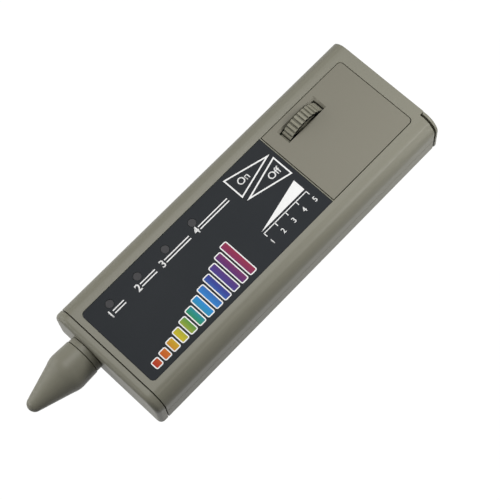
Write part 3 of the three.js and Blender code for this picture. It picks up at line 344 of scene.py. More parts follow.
# %% Rainbow ink
meter_start = along(8)
meter_end = along(66.6)
screen_share = 0.16
ink_black = (0, 0, 0, 1)
rainbow_stops = [
    (0.0, linear(198, 52, 38)),
    (0.13, linear(226, 116, 38)),
    (0.27, linear(226, 206, 44)),
    (0.42, linear(40, 158, 76)),
    (0.57, linear(50, 158, 240)),
    (0.72, linear(60, 74, 166)),
    (0.86, linear(104, 50, 122)),
    (1.0, linear(166, 48, 76)),
]


def rainbow_ink():
    finish = Finish("rainbow_ink")
    scale = 1 / (meter_end - meter_start)
    place = finish.place(scale=(scale, scale, scale), shift=(-meter_start * scale, 0, 0))
    parts = finish.add("ShaderNodeSeparateXYZ", {}, {"Vector": place})
    ramp = finish.add("ShaderNodeValToRGB", {"stops": rainbow_stops}, {"Fac": parts})
    screen = finish.noise(ink_screen_scale, 1)
    tone = finish.blend(screen * screen_share, ramp, ink_black)
    roughness = wander(screen, low=0.38, reach=0.1)
    return finish.surface(base_color=tone, roughness=roughness, specular_ior_level=0.1)


rainbow = rainbow_ink()
print("rainbow runs from", round(meter_start / MM, 1), "to", round(meter_end / MM, 1), "mm")

# %% [markdown]
# ## Metals
# Screws, snaps and the probe are plated steel, brass and copper. Turned parts show fine rings, so
# their roughness follows a wave along the probe's axis, and a slow noise dulls them here and there.

# %% Metals
ring_scale = 900
ring_wobble = 1.5
age_scale = 420
tarnish_shade = 0.45
age_dulling = 0.18
ring_dulling = 0.05
polish_gain = 0.08
ring_depth = 0.003 * MM


def metal(name, colour, roughness, tarnish=0.25):
    finish = Finish(name)
    rings = finish.add(
        "ShaderNodeTexWave",
        {"bands_direction": "X"},
        {"Vector": finish.place(), "Scale": ring_scale, "Distortion": ring_wobble},
        "Fac",
    )
    age = finish.noise(age_scale, 4)
    tone = finish.blend(age * tarnish, colour, shade(colour, tarnish_shade))
    return finish.surface(
        base_color=tone,
        metallic=1.0,
        roughness=age * age_dulling + rings * ring_dulling + (roughness - polish_gain),
        normal=finish.bump(rings, ring_depth),
    )


steel = metal("plated_steel", linear(186, 188, 190), 0.3)
brass = metal("turned_brass", linear(196, 166, 98), 0.3)
copper = metal("probe_copper", linear(202, 122, 84), 0.26, tarnish=0.35)
print("metals ready")

# %% [markdown]
# ## What is inside
# The circuit board, its parts, the battery and the wires only show when the door is open, but the
# part is judged from all sides and at every pose, so each gets a finish of its own.

# %% Board, battery, foam, rubber, ceramic and wires
weave_scale = 620
weave_share = 0.3
weave_depth = 0.02 * MM
track_scale = 150
track_gap = 0.045
sleeve_scale = 700
foam_scale = 1600
foam_depth = 0.25 * MM


def circuit_board():
    finish = Finish("circuit_board")
    weave = finish.add(
        "ShaderNodeTexVoronoi",
        {"distance": "CHEBYCHEV"},
        {"Vector": finish.place(), "Scale": weave_scale},
        "Distance",
    )
    tracks = finish.add(
        "ShaderNodeTexBrick",
        {"offset": 0.37, "squash": 0.6},
        {
            "Vector": finish.place(),
            "Color1": linear(24, 88, 54),
            "Color2": linear(28, 96, 58),
            "Mortar": linear(62, 132, 76),
            "Scale": track_scale,
            "Mortar Size": track_gap,
        },
    )
    tone = finish.blend(weave * weave_share, tracks, linear(16, 62, 38))
    return finish.surface(
        base_color=tone,
        roughness=wander(weave, low=0.28, reach=0.2),
        normal=finish.bump(weave, weave_depth),
    )


def sleeve(name, colour):
    finish = Finish(name)
    swirl = finish.noise(sleeve_scale, 3)
    tone = mottle(finish, swirl, colour, dark=0.82, light=1.18)
    return finish.surface(base_color=tone, roughness=wander(swirl, low=0.32, reach=0.16))


def foam_sheet():
    finish = Finish("foam_sheet")
    inputs = {"Vector": finish.place(), "Scale": foam_scale}
    cells = finish.add("ShaderNodeTexVoronoi", {}, inputs, "Distance")
    tone = finish.blend(cells, linear(38, 38, 40), linear(84, 84, 86))
    return finish.surface(
        base_color=tone,
        roughness=wander(cells, low=0.85, reach=0.1),
        normal=finish.bump(cells, foam_depth),
    )


board_finish = circuit_board()
foam_finish = foam_sheet()
rubber_finish = moulded("black_rubber", linear(28, 28, 28), 0.78)
ceramic_finish = moulded("probe_ceramic", linear(226, 221, 206), 0.55)
red_sleeve = sleeve("red_sleeve", linear(168, 30, 28))
black_sleeve = sleeve("black_sleeve", linear(26, 26, 26))
can_sleeve = sleeve("capacitor_sleeve", linear(30, 42, 74))
print("inner finishes ready")

# %% [markdown]
# ## Workshop helpers
# Every piece below is made the way it would be by hand: a primitive is added, shaped in edit mode
# and finished with modifiers. Operators act on whatever is selected, so each helper starts from a
# clean selection. A finished piece keeps its place in its mesh, with its object at the origin.

# %% Selecting and placing
def fresh():
    """Back to object mode with nothing selected."""
    if bpy.context.object and bpy.context.object.mode != "OBJECT":
        bpy.ops.object.mode_set(mode="OBJECT")
    bpy.ops.object.select_all(action="DESELECT")


def pick(piece):
    fresh()
    piece.select_set(True)
    bpy.context.view_layer.objects.active = piece


def settle(name):
    """Names the new piece and moves its place into its mesh."""
    piece = bpy.context.active_object
    piece.name = name
    piece.data.name = name
    bpy.ops.object.transform_apply(location=True, rotation=True, scale=True)
    return piece


def edit(piece, kind, wanted):
    """Enters edit mode with only the faces, edges or vertices that the test accepts."""
    pick(piece)
    bpy.ops.object.mode_set(mode="EDIT")
    bpy.ops.mesh.select_mode(type=kind)
    bpy.ops.mesh.select_all(action="DESELECT")
    bpy.ops.object.mode_set(mode="OBJECT")
    points = [vertex.co for vertex in piece.data.vertices]
    parts = {"FACE": piece.data.polygons, "EDGE": piece.data.edges, "VERT": piece.data.vertices}[kind]
    for part in parts:
        part.select = wanted([points[index] for index in getattr(part, "vertices", [part.index])])
    bpy.ops.object.mode_set(mode="EDIT")


def runs_along(axis):
    """A test for edges that run along an axis."""
    return lambda ends: abs((ends[1] - ends[0]).normalized()[axis]) > 0.999


def lies_at(axis, value, slack=0.01 * MM):
    """A test for parts whose points all lie at one place on an axis."""
    return lambda points: all(abs(point[axis] - value) < slack for point in points)


X, Y, Z = range(3)
print("helpers ready; axes", X, Y, Z)

# %% [markdown]
# ## Blocks, rods and cuts
# Moulded cases are mostly bars with rounded long edges, hollowed and pierced. A Boolean modifier
# with the exact solver does each cut cleanly. A last bevel of a few tenths breaks every hard edge,
# because no moulded edge is sharp, and the thin highlights on those edges make plastic read true.

# %% Basic solids
curve_steps = 16
rod_sides = 64


def block(name, low, high):
    """A box between two corners."""
    fresh()
    low, high = Vector(low), Vector(high)
    bpy.ops.mesh.primitive_cube_add(size=1, location=(low + high) / 2, scale=high - low)
    return settle(name)


def rounded(piece, test, radius, steps=curve_steps):
    """Rounds the edges that a test accepts."""
    edit(piece, "EDGE", test)
    bpy.ops.mesh.bevel(offset=radius, segments=steps, affect="EDGES")
    fresh()
    return piece


def bar(name, low, high, upper_radius, lower_radius):
    """A block along X with its four long edges rounded, the upper pair and the lower pair."""
    piece = block(name, low, high)
    lengthways, at_top, at_bottom = runs_along(X), lies_at(Z, high[Z]), lies_at(Z, low[Z])
    rounded(piece, lambda ends: lengthways(ends) and at_top(ends), upper_radius)
    return rounded(piece, lambda ends: lengthways(ends) and at_bottom(ends), lower_radius)


turns = {"x": (0, math.pi / 2, 0), "y": (math.pi / 2, 0, 0), "z": (0, 0, 0)}


def rod(name, axis, radius, start, end, sides=rod_sides):
    """A round rod between two points on a line along an axis."""
    fresh()
    start, end = Vector(start), Vector(end)
    middle, length = (start + end) / 2, (end - start).length
    bpy.ops.mesh.primitive_cylinder_add(
        vertices=sides, radius=radius, depth=length, location=middle, rotation=turns[axis]
    )
    return settle(name)


def combine(piece, tool, operation="DIFFERENCE"):
    """Cuts a tool out of a piece, or joins it on, and removes the tool."""
    pick(piece)
    boolean = piece.modifiers.new("shape", "BOOLEAN")
    boolean.operation = operation
    boolean.solver = "EXACT"
    boolean.object = tool
    bpy.ops.object.modifier_apply(modifier=boolean.name)
    bpy.data.objects.remove(tool)
    return piece


def break_edges(piece, width=edge_break, steps=2, angle=38):
    """Breaks every hard edge a little and shades the rest smooth."""
    pick(piece)
    bevel = piece.modifiers.new("edges", "BEVEL")
    bevel.width = width
    bevel.segments = steps
    bevel.limit_method = "ANGLE"
    bevel.angle_limit = math.radians(angle)
    bpy.ops.object.modifier_apply(modifier=bevel.name)
    return smooth(piece)


def smooth(piece, angle=35):
    """Smooth shading that leaves large flat faces truly flat."""
    pick(piece)
    bpy.ops.object.shade_smooth_by_angle(angle=math.radians(angle))
    weights = piece.modifiers.new("flatten", "WEIGHTED_NORMAL")
    weights.keep_sharp = True
    weights.weight = 100
    bpy.ops.object.modifier_apply(modifier=weights.name)
    return piece


def paint_selection(slot):
    """Gives the faces selected in edit mode the material in a slot."""
    bpy.context.object.active_material_index = slot
    bpy.ops.object.material_slot_assign()


def mount(piece, body, *replaced):
    """Gives a piece the body it moves with and hides the nodes it stands for."""
    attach(piece, body)
    for node in replaced:
        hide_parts(node)
    print(piece.name, "rides on", body, "with", len(piece.data.polygons), "faces")
    return piece


def finish_piece(piece, material, body, *replaced):
    """Gives a piece its finish and mounts it."""
    piece.data.materials.clear()
    piece.data.materials.append(material)
    return mount(piece, body, *replaced)


print("solids ready")

# %% [markdown]
# ## The outer case
# The case is one rounded tube split into an upper and a lower shell. Both start from the same bar,
# so their outlines agree to the hair. The bar is hollowed first, then parted with two blocks,
# which leaves the fine shadow gap that runs round the real thing.

# %% Case tube
parting = lower_high.z + half_gap
rear_face = rear_high.x
shell_rear = lower_high.x
front_seam = shell_low.x
seam_recess = 0.1 * MM
wide = case_half_width + overrun


def case_bar(name, start, end, inset=0):
    """The case's cross-section, drawn in by an inset, between two places along it."""
    low = (start, -case_half_width + inset, inset)
    high = (end, case_half_width - inset, case_top - inset)
    return bar(name, low, high, top_radius - inset, max(bottom_radius - inset, least_radius))


def case_tube(name, start, end, thickness=wall, inset=0):
    tube = case_bar(name, start, end, inset)
    return combine(tube, case_bar("hollow", start - overrun, end + overrun, inset + thickness))


def shaft(place, radius, low, high, sides=rod_sides):
    """An upright rod to drill with, at a place given in millimetres from the seam."""
    x, y = along(place[0]), place[1] * MM
    return rod("drill", "z", radius, (x, y, low), (x, y, high), sides)


print("case from", round(front_low.x / MM, 2), "to", round(rear_face / MM, 2), "mm")

# %% [markdown]
# ## Lower shell
# The lower half is a plain tray. Four screws go up through it, so it has four deep pockets below,
# and it carries the ribs beside the battery and the posts under the circuit board.

# %% Lower shell
screw_places = [(9, -23.5), (9, 23.5), (148, -23.9), (149, 24.5)]
board_posts = [(27.98, -15), (80.02, -15), (119.8, 22)]
boss_radius = 3 * MM
screw_hole = 1.6 * MM
screw_pocket = 2.7 * MM
pocket_depth = 3 * MM
rib_thickness = 1.2 * MM
rib_height = 10 * MM
post_gap = 0.1 * MM
post_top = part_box("main_board")[0].z - post_gap
boss_start = 0.6 * MM
battery_low, battery_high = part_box("battery")


def lower_shell():
    shell = case_tube("lower_case", front_seam + seam_recess, shell_rear)
    low = (front_seam - overrun, -wide, parting - half_gap)
    combine(shell, block("above", low, (shell_rear + overrun, wide, case_top + overrun)))
    for place in screw_places:
        boss = shaft(place, boss_radius, boss_start, parting - half_gap)
        combine(shell, boss, "UNION")
    for place in board_posts:
        combine(shell, shaft(place, boss_radius, wall - edge_break, post_top), "UNION")
    for side, edge in ((-1, battery_low.y), (1, battery_high.y)):
        near = edge + side * fit_gap
        spans = sorted((near, near + side * rib_thickness))
        low = (battery_low.x, spans[0], wall - edge_break)
        rib = block("rib", low, (battery_high.x, spans[1], rib_height))
        combine(shell, rib, "UNION")
    for place in screw_places:
        combine(shell, shaft(place, screw_hole, -overrun, parting + overrun))
        combine(shell, shaft(place, screw_pocket, -overrun, pocket_depth))
    return break_edges(shell)


finish_piece(lower_shell(), case_plastic, "case", "lower_shell")

# %% [markdown]
# ## Upper shell
# The upper half carries everything the hand meets: a shallow recess for the label film, the door
# opening with ledges under its edges, holes for the four lamps and pockets under the two keys. At
# the back it runs on over the rear cap, except at one corner, which is notched for the cap.

# %% Upper shell sizes
label_seat = label_low.z
label_deck_thickness = 1.5 * MM
label_deck = label_seat - label_deck_thickness
label_gap = 0.15 * MM
tongue_half_width = 21.5 * MM
door_thickness = 1.8 * MM
ledge_thickness = 1.4 * MM
ledge_reach = 1.5 * MM
ledge_gap = 0.1 * MM
ledge_spans = ((112, 116), (146, 157))
door_side = door_high.y
lamp_places = [(14.6, 15.6), (30.7, 15.6), (46.9, 15.6), (62.9, 15.6)]
lamp_hole = 2.05 * MM
on_corners = [(85.1, 19.1), (85.2, 7.8), (107.1, 13.2)]
off_corners = [(85.8, 5.5), (107.5, 11.2), (107.5, 0.1)]
door_far = door_high.x
door_near = along(110.4)
corner_break = 2 * MM
print("label seat at", round(label_seat / MM, 2), "door from", round(door_near / MM, 2))

# %% [markdown]
# The keys are triangles, so their pockets need a prism with any outline. A filled circle with as
# many points as the outline has corners is moved point by point onto it and then extruded upwards.

# %% Prisms
def prism(name, corners, low, high):
    """An upright prism over corners given in millimetres from the seam."""
    fresh()
    places = [Vector((along(x), y * MM, low)) for x, y in corners]
    middle = sum(places, Vector()) / len(places)
    bpy.ops.mesh.primitive_circle_add(vertices=len(corners), radius=MM, fill_type="NGON", location=middle)
    piece = settle(name)
    starts = [vertex.co.copy() for vertex in piece.data.vertices]
    order = sorted(range(len(places)), key=lambda i: math.atan2(*(places[i] - middle).yx))
    rank = sorted(range(len(starts)), key=lambda i: math.atan2(*(starts[i] - middle).yx))
    for point, corner in zip(rank, order):
        edit(piece, "VERT", lambda ends, start=starts[point]: (ends[0] - start).length < merge_distance)
        bpy.ops.transform.translate(value=places[corner] - starts[point])
    bpy.ops.mesh.select_mode(type="FACE")
    bpy.ops.mesh.select_all(action="SELECT")
    bpy.ops.mesh.extrude_region_move(TRANSFORM_OT_translate={"value": (0, 0, high - low)})
    bpy.ops.mesh.select_all(action="SELECT")
    bpy.ops.mesh.normals_make_consistent(inside=False)
    fresh()
    return piece


def spread(corners, distance):
    """A triangle's corners, with each side moved outwards by a distance in millimetres."""
    middle = sum((Vector(corner) for corner in corners), Vector((0, 0))) / len(corners)
    sides = []
    for corner, following in zip(corners, corners[1:] + corners[:1]):
        run = Vector(following) - Vector(corner)
        normal = Vector((run.y, -run.x)).normalized()
        if (Vector(corner) - middle).dot(normal) < 0:
            normal = -normal
        sides.append((normal, Vector(corner).dot(normal) + distance))
    moved = []
    for (first, near), (second, far) in zip([sides[-1]] + sides[:-1], sides):
        cross = first.x * second.y - first.y * second.x
        moved.append(((near * second.y - far * first.y) / cross, (first.x * far - second.x * near) / cross))
    return moved


def middle_of(corners):
    return tuple(sum(values) / len(corners) for values in zip(*corners))


print("key centres", middle_of(on_corners), middle_of(off_corners))

# %% Upper shell
key_room = 0.16
key_pocket_depth = 0.5 * MM
pocket_floor = label_seat - key_pocket_depth
post_hole = 1.5 * MM
screw_hole_top = 16 * MM
opening_rounding = 0.3 * MM
opening_steps = 3
shell_break = 0.18 * MM


def opening(name, start, end, half_width, low, high, corners_at=None):
    """A cutter with two upright edges rounded, at one end of it."""
    tool = block(name, (start, -half_width, low), (end, half_width, high))
    if corners_at is None:
        return tool
    at_end = lies_at(X, corners_at)
    upright = runs_along(Z)
    return rounded(tool, lambda ends: upright(ends) and at_end(ends), corner_break + label_gap)


def shell_notch(shell):
    """Cuts the rear corner away on one side, where the rear cap comes through."""
    low = (shell_rear, -wide, 0)
    return combine(shell, block("notch", low, (rear_face + overrun, -tongue_half_width, case_top + overrun)))


def door_frame(shell):
    """Opens the door's place through the top and puts ledges under its edges."""
    low = case_top - wall - overrun
    start, end = door_near - fit_gap, door_far + fit_gap
    combine(shell, opening("door_place", start, end, door_side + fit_gap, low, case_top + overrun, end))
    top = case_top - door_thickness - ledge_gap
    edge = door_side + fit_gap
    for side in (-1, 1):
        for first, last in ledge_spans:
            inner = sorted((side * (edge - ledge_reach), side * (edge + ledge_reach)))
            base = (along(first), inner[0], top - ledge_thickness)
            combine(shell, block("shelf", base, (along(last), inner[1], top)), "UNION")
            outer = sorted((side * edge, side * (edge + ledge_reach)))
            base = (along(first), outer[0], top - ledge_thickness)
            high = (along(last), outer[1], case_top - wall + ledge_gap)
            combine(shell, block("web", base, high), "UNION")
    return shell


def round_the_door(ends):
    """A test for the top edges of the door's opening."""
    near, far = door_near - fit_gap - half_gap, door_far + fit_gap + half_gap
    side = door_side + fit_gap + half_gap
    return lies_at(Z, case_top)(ends) and all(near < end.x < far and abs(end.y) < side for end in ends)


def upper_shell():
    shell = case_tube("upper_case", front_seam + seam_recess, rear_face)
    low = (front_seam - overrun, -wide, -overrun)
    combine(shell, block("below", low, (rear_face + overrun, wide, parting + half_gap)))
    shell_notch(shell)
    half_label = label_high.y
    deck_low = (label_low.x, -half_label - overrun, label_deck)
    deck_high = (door_near - fit_gap, half_label + overrun, case_top - wall + edge_break)
    combine(shell, block("deck", deck_low, deck_high), "UNION")
    door_frame(shell)
    rounded(shell, round_the_door, opening_rounding, opening_steps)
    for place in screw_places:
        combine(shell, shaft(place, boss_radius, parting + half_gap, case_top - wall + edge_break), "UNION")
        combine(shell, shaft(place, screw_hole, parting - overrun, screw_hole_top))
    start, end = label_low.x - label_gap, label_high.x + label_gap
    half_place = half_label + label_gap
    combine(shell, opening("label_place", start, end, half_place, label_seat, case_top + overrun, start))
    for corners in (on_corners, off_corners):
        combine(shell, prism("key_place", spread(corners, key_room), pocket_floor, case_top))
        combine(shell, shaft(middle_of(corners), post_hole, label_deck - overrun, case_top))
    for place in lamp_places:
        combine(shell, shaft(place, lamp_hole, label_deck - overrun, case_top))
    return break_edges(shell, shell_break)


finish_piece(upper_shell(), case_plastic, "case", "upper_shell")

# %% [markdown]
# ## End caps
# The front cap closes the tube and holds the probe. Its front edge is generously rounded, so it
# starts as the same bar and gets its face loop bevelled. Both caps are thin plates with a lip that
# slips inside the shells. The rear cap leaves room for the upper shell and is drilled for the inlet.

# %% Caps
front_rounding = 2.2 * MM
front_steps = 8
rear_steps = 5
front_plate = 2.5 * MM
lip_thickness = 1.2 * MM
lip_depth = 3 * MM
rear_thickness = 1.35 * MM
rear_rounding = 0.5 * MM
rear_break = 0.15 * MM
collar_low, collar_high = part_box("probe_collar")
probe_side = (collar_low.y + collar_high.y) / 2
axis_height = case_top / 2
collar_hole = 5.9 * MM
jack_side = 15.5 * MM
jack_hole = 4.7 * MM


def cross_rod(name, radius, start, end, side, sides=rod_sides):
    """A rod along X at half the case's height."""
    return rod(name, "x", radius, (start, side, axis_height), (end, side, axis_height), sides)


def lip(start, end):
    return case_tube("lip", start, end, lip_thickness, wall + fit_gap)


def front_cap():
    start, end = front_low.x, seam - half_gap - seam_recess
    cap = case_bar("front_end", start, end)
    rounded(cap, lies_at(X, start), front_rounding, front_steps)
    inner_start = start + front_plate
    room = case_bar("room", inner_start, end + overrun, wall + fit_gap + lip_thickness)
    combine(cap, room)
    combine(cap, lip(inner_start, seam + lip_depth), "UNION")
    combine(cap, cross_rod("hole", collar_hole, start - overrun, end + overrun, probe_side))
    return break_edges(cap)


def rear_cap():
    start = rear_face - rear_thickness
    cap = case_bar("rear_end", start, rear_face)
    rounded(cap, lies_at(X, rear_face), rear_rounding, rear_steps)
    low = (start - half_gap, -tongue_half_width - fit_gap, parting - half_gap)
    room = block("shell_room", low, (rear_face + half_gap, wide, case_top + overrun))
    combine(cap, combine(room, case_bar("inside", start - overrun, rear_face + overrun, wall + fit_gap)))
    combine(cap, lip(start - lip_depth, start + half_gap), "UNION")
    combine(cap, cross_rod("hole", jack_hole, start - overrun, rear_face + overrun, jack_side))
    return break_edges(cap, rear_break)


finish_piece(front_cap(), case_plastic, "case", "front_cap")
finish_piece(rear_cap(), case_plastic, "case", "rear_cap")

# %% [markdown]
# ## Battery door
# The door is a flat plate with two rounded far corners and a slot for the thumbwheel. The slot is
# bevelled on two sides so that a finger can reach the wheel. Two tongues and a latch hold it.

# %% Battery door
slot_low = (along(116.8), 10.5 * MM)
slot_high = (along(138.7), 16.9 * MM)
slot_bevel = 1 * MM
slot_bevel_depth = 0.8 * MM
door_under = case_top - door_thickness
door_break = 0.32 * MM
door_break_steps = 3
tongue_sides = (-14, 14)
tongue_reach = 3
tongue_drop = 1.2 * MM
tongue_start, tongue_end = along(110.7), along(112.2)
toe_start = along(108.9)
toe_thickness = 0.8 * MM
latch_low = (along(157.3), 10.5 * MM, door_under - 2.2 * MM)
latch_high = (along(158.8), 16.5 * MM, door_under + half_gap)


def slot_cutter():
    """A box whose top flares over its far end and outer side."""
    low = (*slot_low, case_top - slot_bevel_depth)
    tool = block("flare", low, (*slot_high, case_top))
    edit(tool, "VERT", lambda ends: ends[0].z > case_top - half_gap and ends[0].x > slot_low[0] + overrun)
    bpy.ops.transform.translate(value=(slot_bevel, 0, 0))
    edit(tool, "VERT", lambda ends: ends[0].z > case_top - half_gap and ends[0].y > slot_low[1] + overrun)
    bpy.ops.transform.translate(value=(0, slot_bevel, 0))
    edit(tool, "FACE", lies_at(Z, case_top))
    bpy.ops.mesh.extrude_region_move(TRANSFORM_OT_translate={"value": (0, 0, edge_break)})
    fresh()
    return tool


def hooks(door):
    """The two tongues at the near edge and the latch at the far one."""
    bottom = door_under - tongue_drop
    for side in tongue_sides:
        left, right = (side - tongue_reach) * MM, (side + tongue_reach) * MM
        leg = block("leg", (tongue_start, left, bottom), (tongue_end, right, door_under + half_gap))
        toe = block("toe", (toe_start, left, bottom), (tongue_end, right, bottom + toe_thickness))
        combine(door, combine(leg, toe, "UNION"), "UNION")
    return combine(door, block("latch", latch_low, latch_high), "UNION")


def battery_door():
    door = block("door_plate", (door_near, -door_side, door_under), (door_far, door_side, case_top))
    far, upright = lies_at(X, door_far), runs_along(Z)
    rounded(door, lambda ends: far(ends) and upright(ends), corner_break)
    hooks(door)
    combine(door, slot_cutter())
    combine(door, block("slot", (*slot_low, door_under - overrun), (*slot_high, case_top + overrun)))
    return break_edges(door, door_break, door_break_steps)


finish_piece(battery_door(), door_plastic, "door", "battery_door")

# %% [markdown]
# ## Thumbwheel
# The wheel's grey is the case's made a quarter lighter, and it has deep ridges for grip. A cylinder with
# eight sides to each ridge gives every ridge a root, a ramp, a crest and a ramp: the crest points
# are scaled out from the axle, and a small bevel softens them as moulding does. The grooves are
# darker than the crests by painted shade, which grows with depth, measured as a distance from the axle.

# %% Thumbwheel
wheel_centre = (wheel_low + wheel_high) / 2
wheel_radius = (wheel_high.x - wheel_low.x) / 2
ridges = 34
ridge_sides = 8
first_ridge_share = 0.74
root_share = 0.3
ridge_depth = 0.8 * MM
wheel_recess = 3.6 * MM
wheel_recess_depth = 1.3 * MM
axle_hole = 2.5 * MM
ridge_break = 0.1 * MM
# Painted shade in the grooves: its strength, and how far in from the crests it reaches.
painted_shade_share = 0.42
painted_shade_reach = 1.1 * MM
hub_radius = 6.2 * MM
rim_thickness = 2 * MM
web_depth = 0.7 * MM
ridge_angle = 20
# Painted shade: the near-black that the wheel's flat sides get for the dark of the slot.
side_painted_shade = linear(18, 18, 17)


def on_axle(place):
    """A point on the axle at a place across the case."""
    return (wheel_centre.x, place, wheel_centre.z)


def ridge_crests(points):
    """The points past each ridge's root stand proud."""
    angle = math.atan2(points[0].z - wheel_centre.z, points[0].x - wheel_centre.x)
    share = angle / (2 * math.pi) * ridges - first_ridge_share
    return share % 1 > root_share


def ring_cut(name, inner, outer, start, end):
    """A tube along Y that cuts a round groove into the wheel's side."""
    ring = rod(name, "y", outer, on_axle(start), on_axle(end))
    core = rod("core", "y", inner, on_axle(start - overrun), on_axle(end + overrun))
    return combine(ring, core)


def thumbwheel():
    start, end = wheel_low.y, wheel_high.y
    root = wheel_radius - ridge_depth
    wheel = rod("thumb_wheel", "y", root, on_axle(start), on_axle(end), ridges * ridge_sides)
    edit(wheel, "VERT", ridge_crests)
    grow = wheel_radius / root
    bpy.ops.transform.resize(value=(grow, 1, grow), center_override=wheel_centre)
    fresh()
    break_edges(wheel, ridge_break, 2, ridge_angle)
    for side_start, side_end in ((start - overrun, start + web_depth), (end - web_depth, end + overrun)):
        combine(wheel, ring_cut("web", hub_radius, wheel_radius - rim_thickness, side_start, side_end))
    before, past = on_axle(start - overrun), on_axle(end + overrun)
    combine(wheel, rod("recess", "y", wheel_recess, before, on_axle(start + wheel_recess_depth)))
    combine(wheel, rod("axle", "y", axle_hole, before, past))
    return smooth(wheel)


def groove_painted_shade(finish):
    """Painted shade in the grooves: it grows from the crests down to the roots, and stops short of the
    wheel's flat sides.
    """
    flat = finish.place(scale=(1, 0, 1), shift=(-wheel_centre.x, 0, -wheel_centre.z))
    distance = finish.add("ShaderNodeVectorMath", {"operation": "LENGTH"}, {0: flat}, "Value")
    depth = (wheel_radius - distance) * (1 / ridge_depth)
    return depth * painted_shade_share * (distance > wheel_radius - painted_shade_reach)


def paint_shade_on_sides(wheel):
    """Paints the flat sides near-black as painted shade, for the dark of the slot that they run in."""
    wheel.data.materials.append(moulded("wheel_side_painted_shade", side_painted_shade, 0.7, specular=0.03))
    for side in (wheel_low.y, wheel_high.y):
        edit(wheel, "FACE", lies_at(Y, side))
        paint_selection(1)
    fresh()


# The wheel's grooves take painted shade in their colour.
wheel_plastic = moulded("wheel_plastic", shade(case_colour, 1.25), 0.5, painted_shade=groove_painted_shade)
# The flat sides take a near-black painted shade.
paint_shade_on_sides(finish_piece(thumbwheel(), wheel_plastic, "wheel", "thumbwheel"))

# %% [markdown]
# ## Probe collar and cap
# The collar and the cap were turned in the tool as round forms, so each is a profile spun about
# the probe's axis. The profile is drawn as a chain of points from the base outwards, and spin
# sweeps it round in fine steps. Merging doubles closes the seam and the poles.

# %% Spun pieces
spin_steps = 96


def chain(name, places):
    """A chain of edges drawn by extruding one point from place to place."""
    fresh()
    bpy.ops.mesh.primitive_plane_add(size=MM, location=places[0])
    piece = settle(name)
    bpy.ops.object.mode_set(mode="EDIT")
    bpy.ops.mesh.select_mode(type="VERT")
    bpy.ops.mesh.select_all(action="SELECT")
    bpy.ops.mesh.merge(type="CENTER")
    for place, following in zip(places, places[1:]):
        bpy.ops.mesh.extrude_region_move(TRANSFORM_OT_translate={"value": following - place})
    return piece


def spun(name, profile):
    """Spins a profile of (radius, distance before the seam) in millimetres about the probe's axis."""
    axis_point = Vector((seam, probe_side, axis_height))
    places = [axis_point + Vector((-place * MM, 0, radius * MM)) for radius, place in profile]
    piece = chain(name, places)
    bpy.ops.mesh.select_all(action="SELECT")
    bpy.ops.mesh.spin(steps=spin_steps, angle=2 * math.pi, center=axis_point, axis=(1, 0, 0))
    bpy.ops.mesh.select_all(action="SELECT")
    bpy.ops.mesh.remove_doubles(threshold=merge_distance)
    bpy.ops.mesh.delete_loose(use_verts=True, use_edges=True, use_faces=False)
    bpy.ops.mesh.select_all(action="SELECT")
    bpy.ops.mesh.normals_make_consistent(inside=False)
    fresh()
    return piece


def corner_arc(centre, radius, start, end, steps=6):
    """Points of an arc in a profile, with angles in degrees from the axis outwards."""
    angles = [math.radians(start + (end - start) * step / steps) for step in range(steps + 1)]
    return [(centre[0] + radius * math.sin(angle), centre[1] + radius * math.cos(angle)) for angle in angles]


print("spin uses", spin_steps, "steps")

# %% Probe collar
collar_bore, collar_tail, collar_neck, collar_spigot, collar_groove = 4.5, 5.6, 8.5, 6.9, 6.35
tail_start, neck_start, neck_end, spigot_end = -3, 4.7, 7.2, 13
groove_start, groove_end = 9.4, 10.6
collar_break = 0.15


def probe_collar():
    """A tail inside the case, the neck that shows, and a grooved spigot for the cap."""
    profile = [(collar_bore, tail_start), (collar_tail, tail_start), (collar_tail, neck_start)]
    profile += [(collar_neck, neck_start), (collar_neck, neck_end - collar_break)]
    profile += corner_arc((collar_neck - collar_break, neck_end - collar_break), collar_break, 90, 0)
    profile += [(collar_spigot, neck_end), (collar_spigot, groove_start), (collar_groove, groove_start)]
    profile += [(collar_groove, groove_end), (collar_spigot, groove_end)]
    profile += corner_arc((collar_spigot - collar_break, spigot_end - collar_break), collar_break, 90, 0)
    profile += [(collar_bore, spigot_end), (collar_bore, tail_start)]
    return smooth(spun("probe_neck", profile))


finish_piece(probe_collar(), case_plastic, "case", "probe_collar")

# %% Probe cap profile
mouth = (8.75, 7.45)
belly = (9.05, 15.6)
shoulder = (8.0, 20.3)
cone_angle = math.radians(17)
tip_radius = 3.45
cap_length_end = 38.1
hollow_end = 33.4
cap_wall = 1.25
cap_bore = 7.2
bore_end = 13.65
mouth_break = 0.35
tip_steps = 20
cap_smoothing = 50


def cone_radius(place):
    return shoulder[0] - (place - shoulder[1]) * math.tan(cone_angle)


def shoulder_curve(steps=14):
    """The soft turn from the belly into the cone."""
    drop = belly[0] - shoulder[0]
    shares = [step / steps for step in range(steps + 1)]
    return [(belly[0] - drop * share ** 2, belly[1] + share * (shoulder[1] - belly[1])) for share in shares]


def probe_cap():
    profile = [(cap_bore, mouth[1])]
    profile += corner_arc((mouth[0] - mouth_break, mouth[1] + mouth_break), mouth_break, 180, 90)
    profile += shoulder_curve()
    centre = cap_length_end - tip_radius
    profile += corner_arc((0, centre), tip_radius, 90 - math.degrees(cone_angle), 0, tip_steps)
    profile += [(0, hollow_end), (cone_radius(hollow_end) - cap_wall, hollow_end)]
    profile += [(cone_radius(shoulder[1]) - cap_wall, shoulder[1]), (cap_bore, bore_end)]
    profile += [(cap_bore, mouth[1])]
    return smooth(spun("cap_cone", profile), cap_smoothing)


finish_piece(probe_cap(), case_plastic, "cap", "probe_cap")

# %% [markdown]
# ## Label film
# The film is a thin sheet let into the shell, with two rounded corners at its near end, triangular
# openings round the keys and round ones over the lamps. It is cut from one block with the same
# cutters as the recess, a hair smaller, so a thin line of the shell's edge shows all round it.

# %% Label film
film_hole = 1.93 * MM
film_break = 0.06 * MM


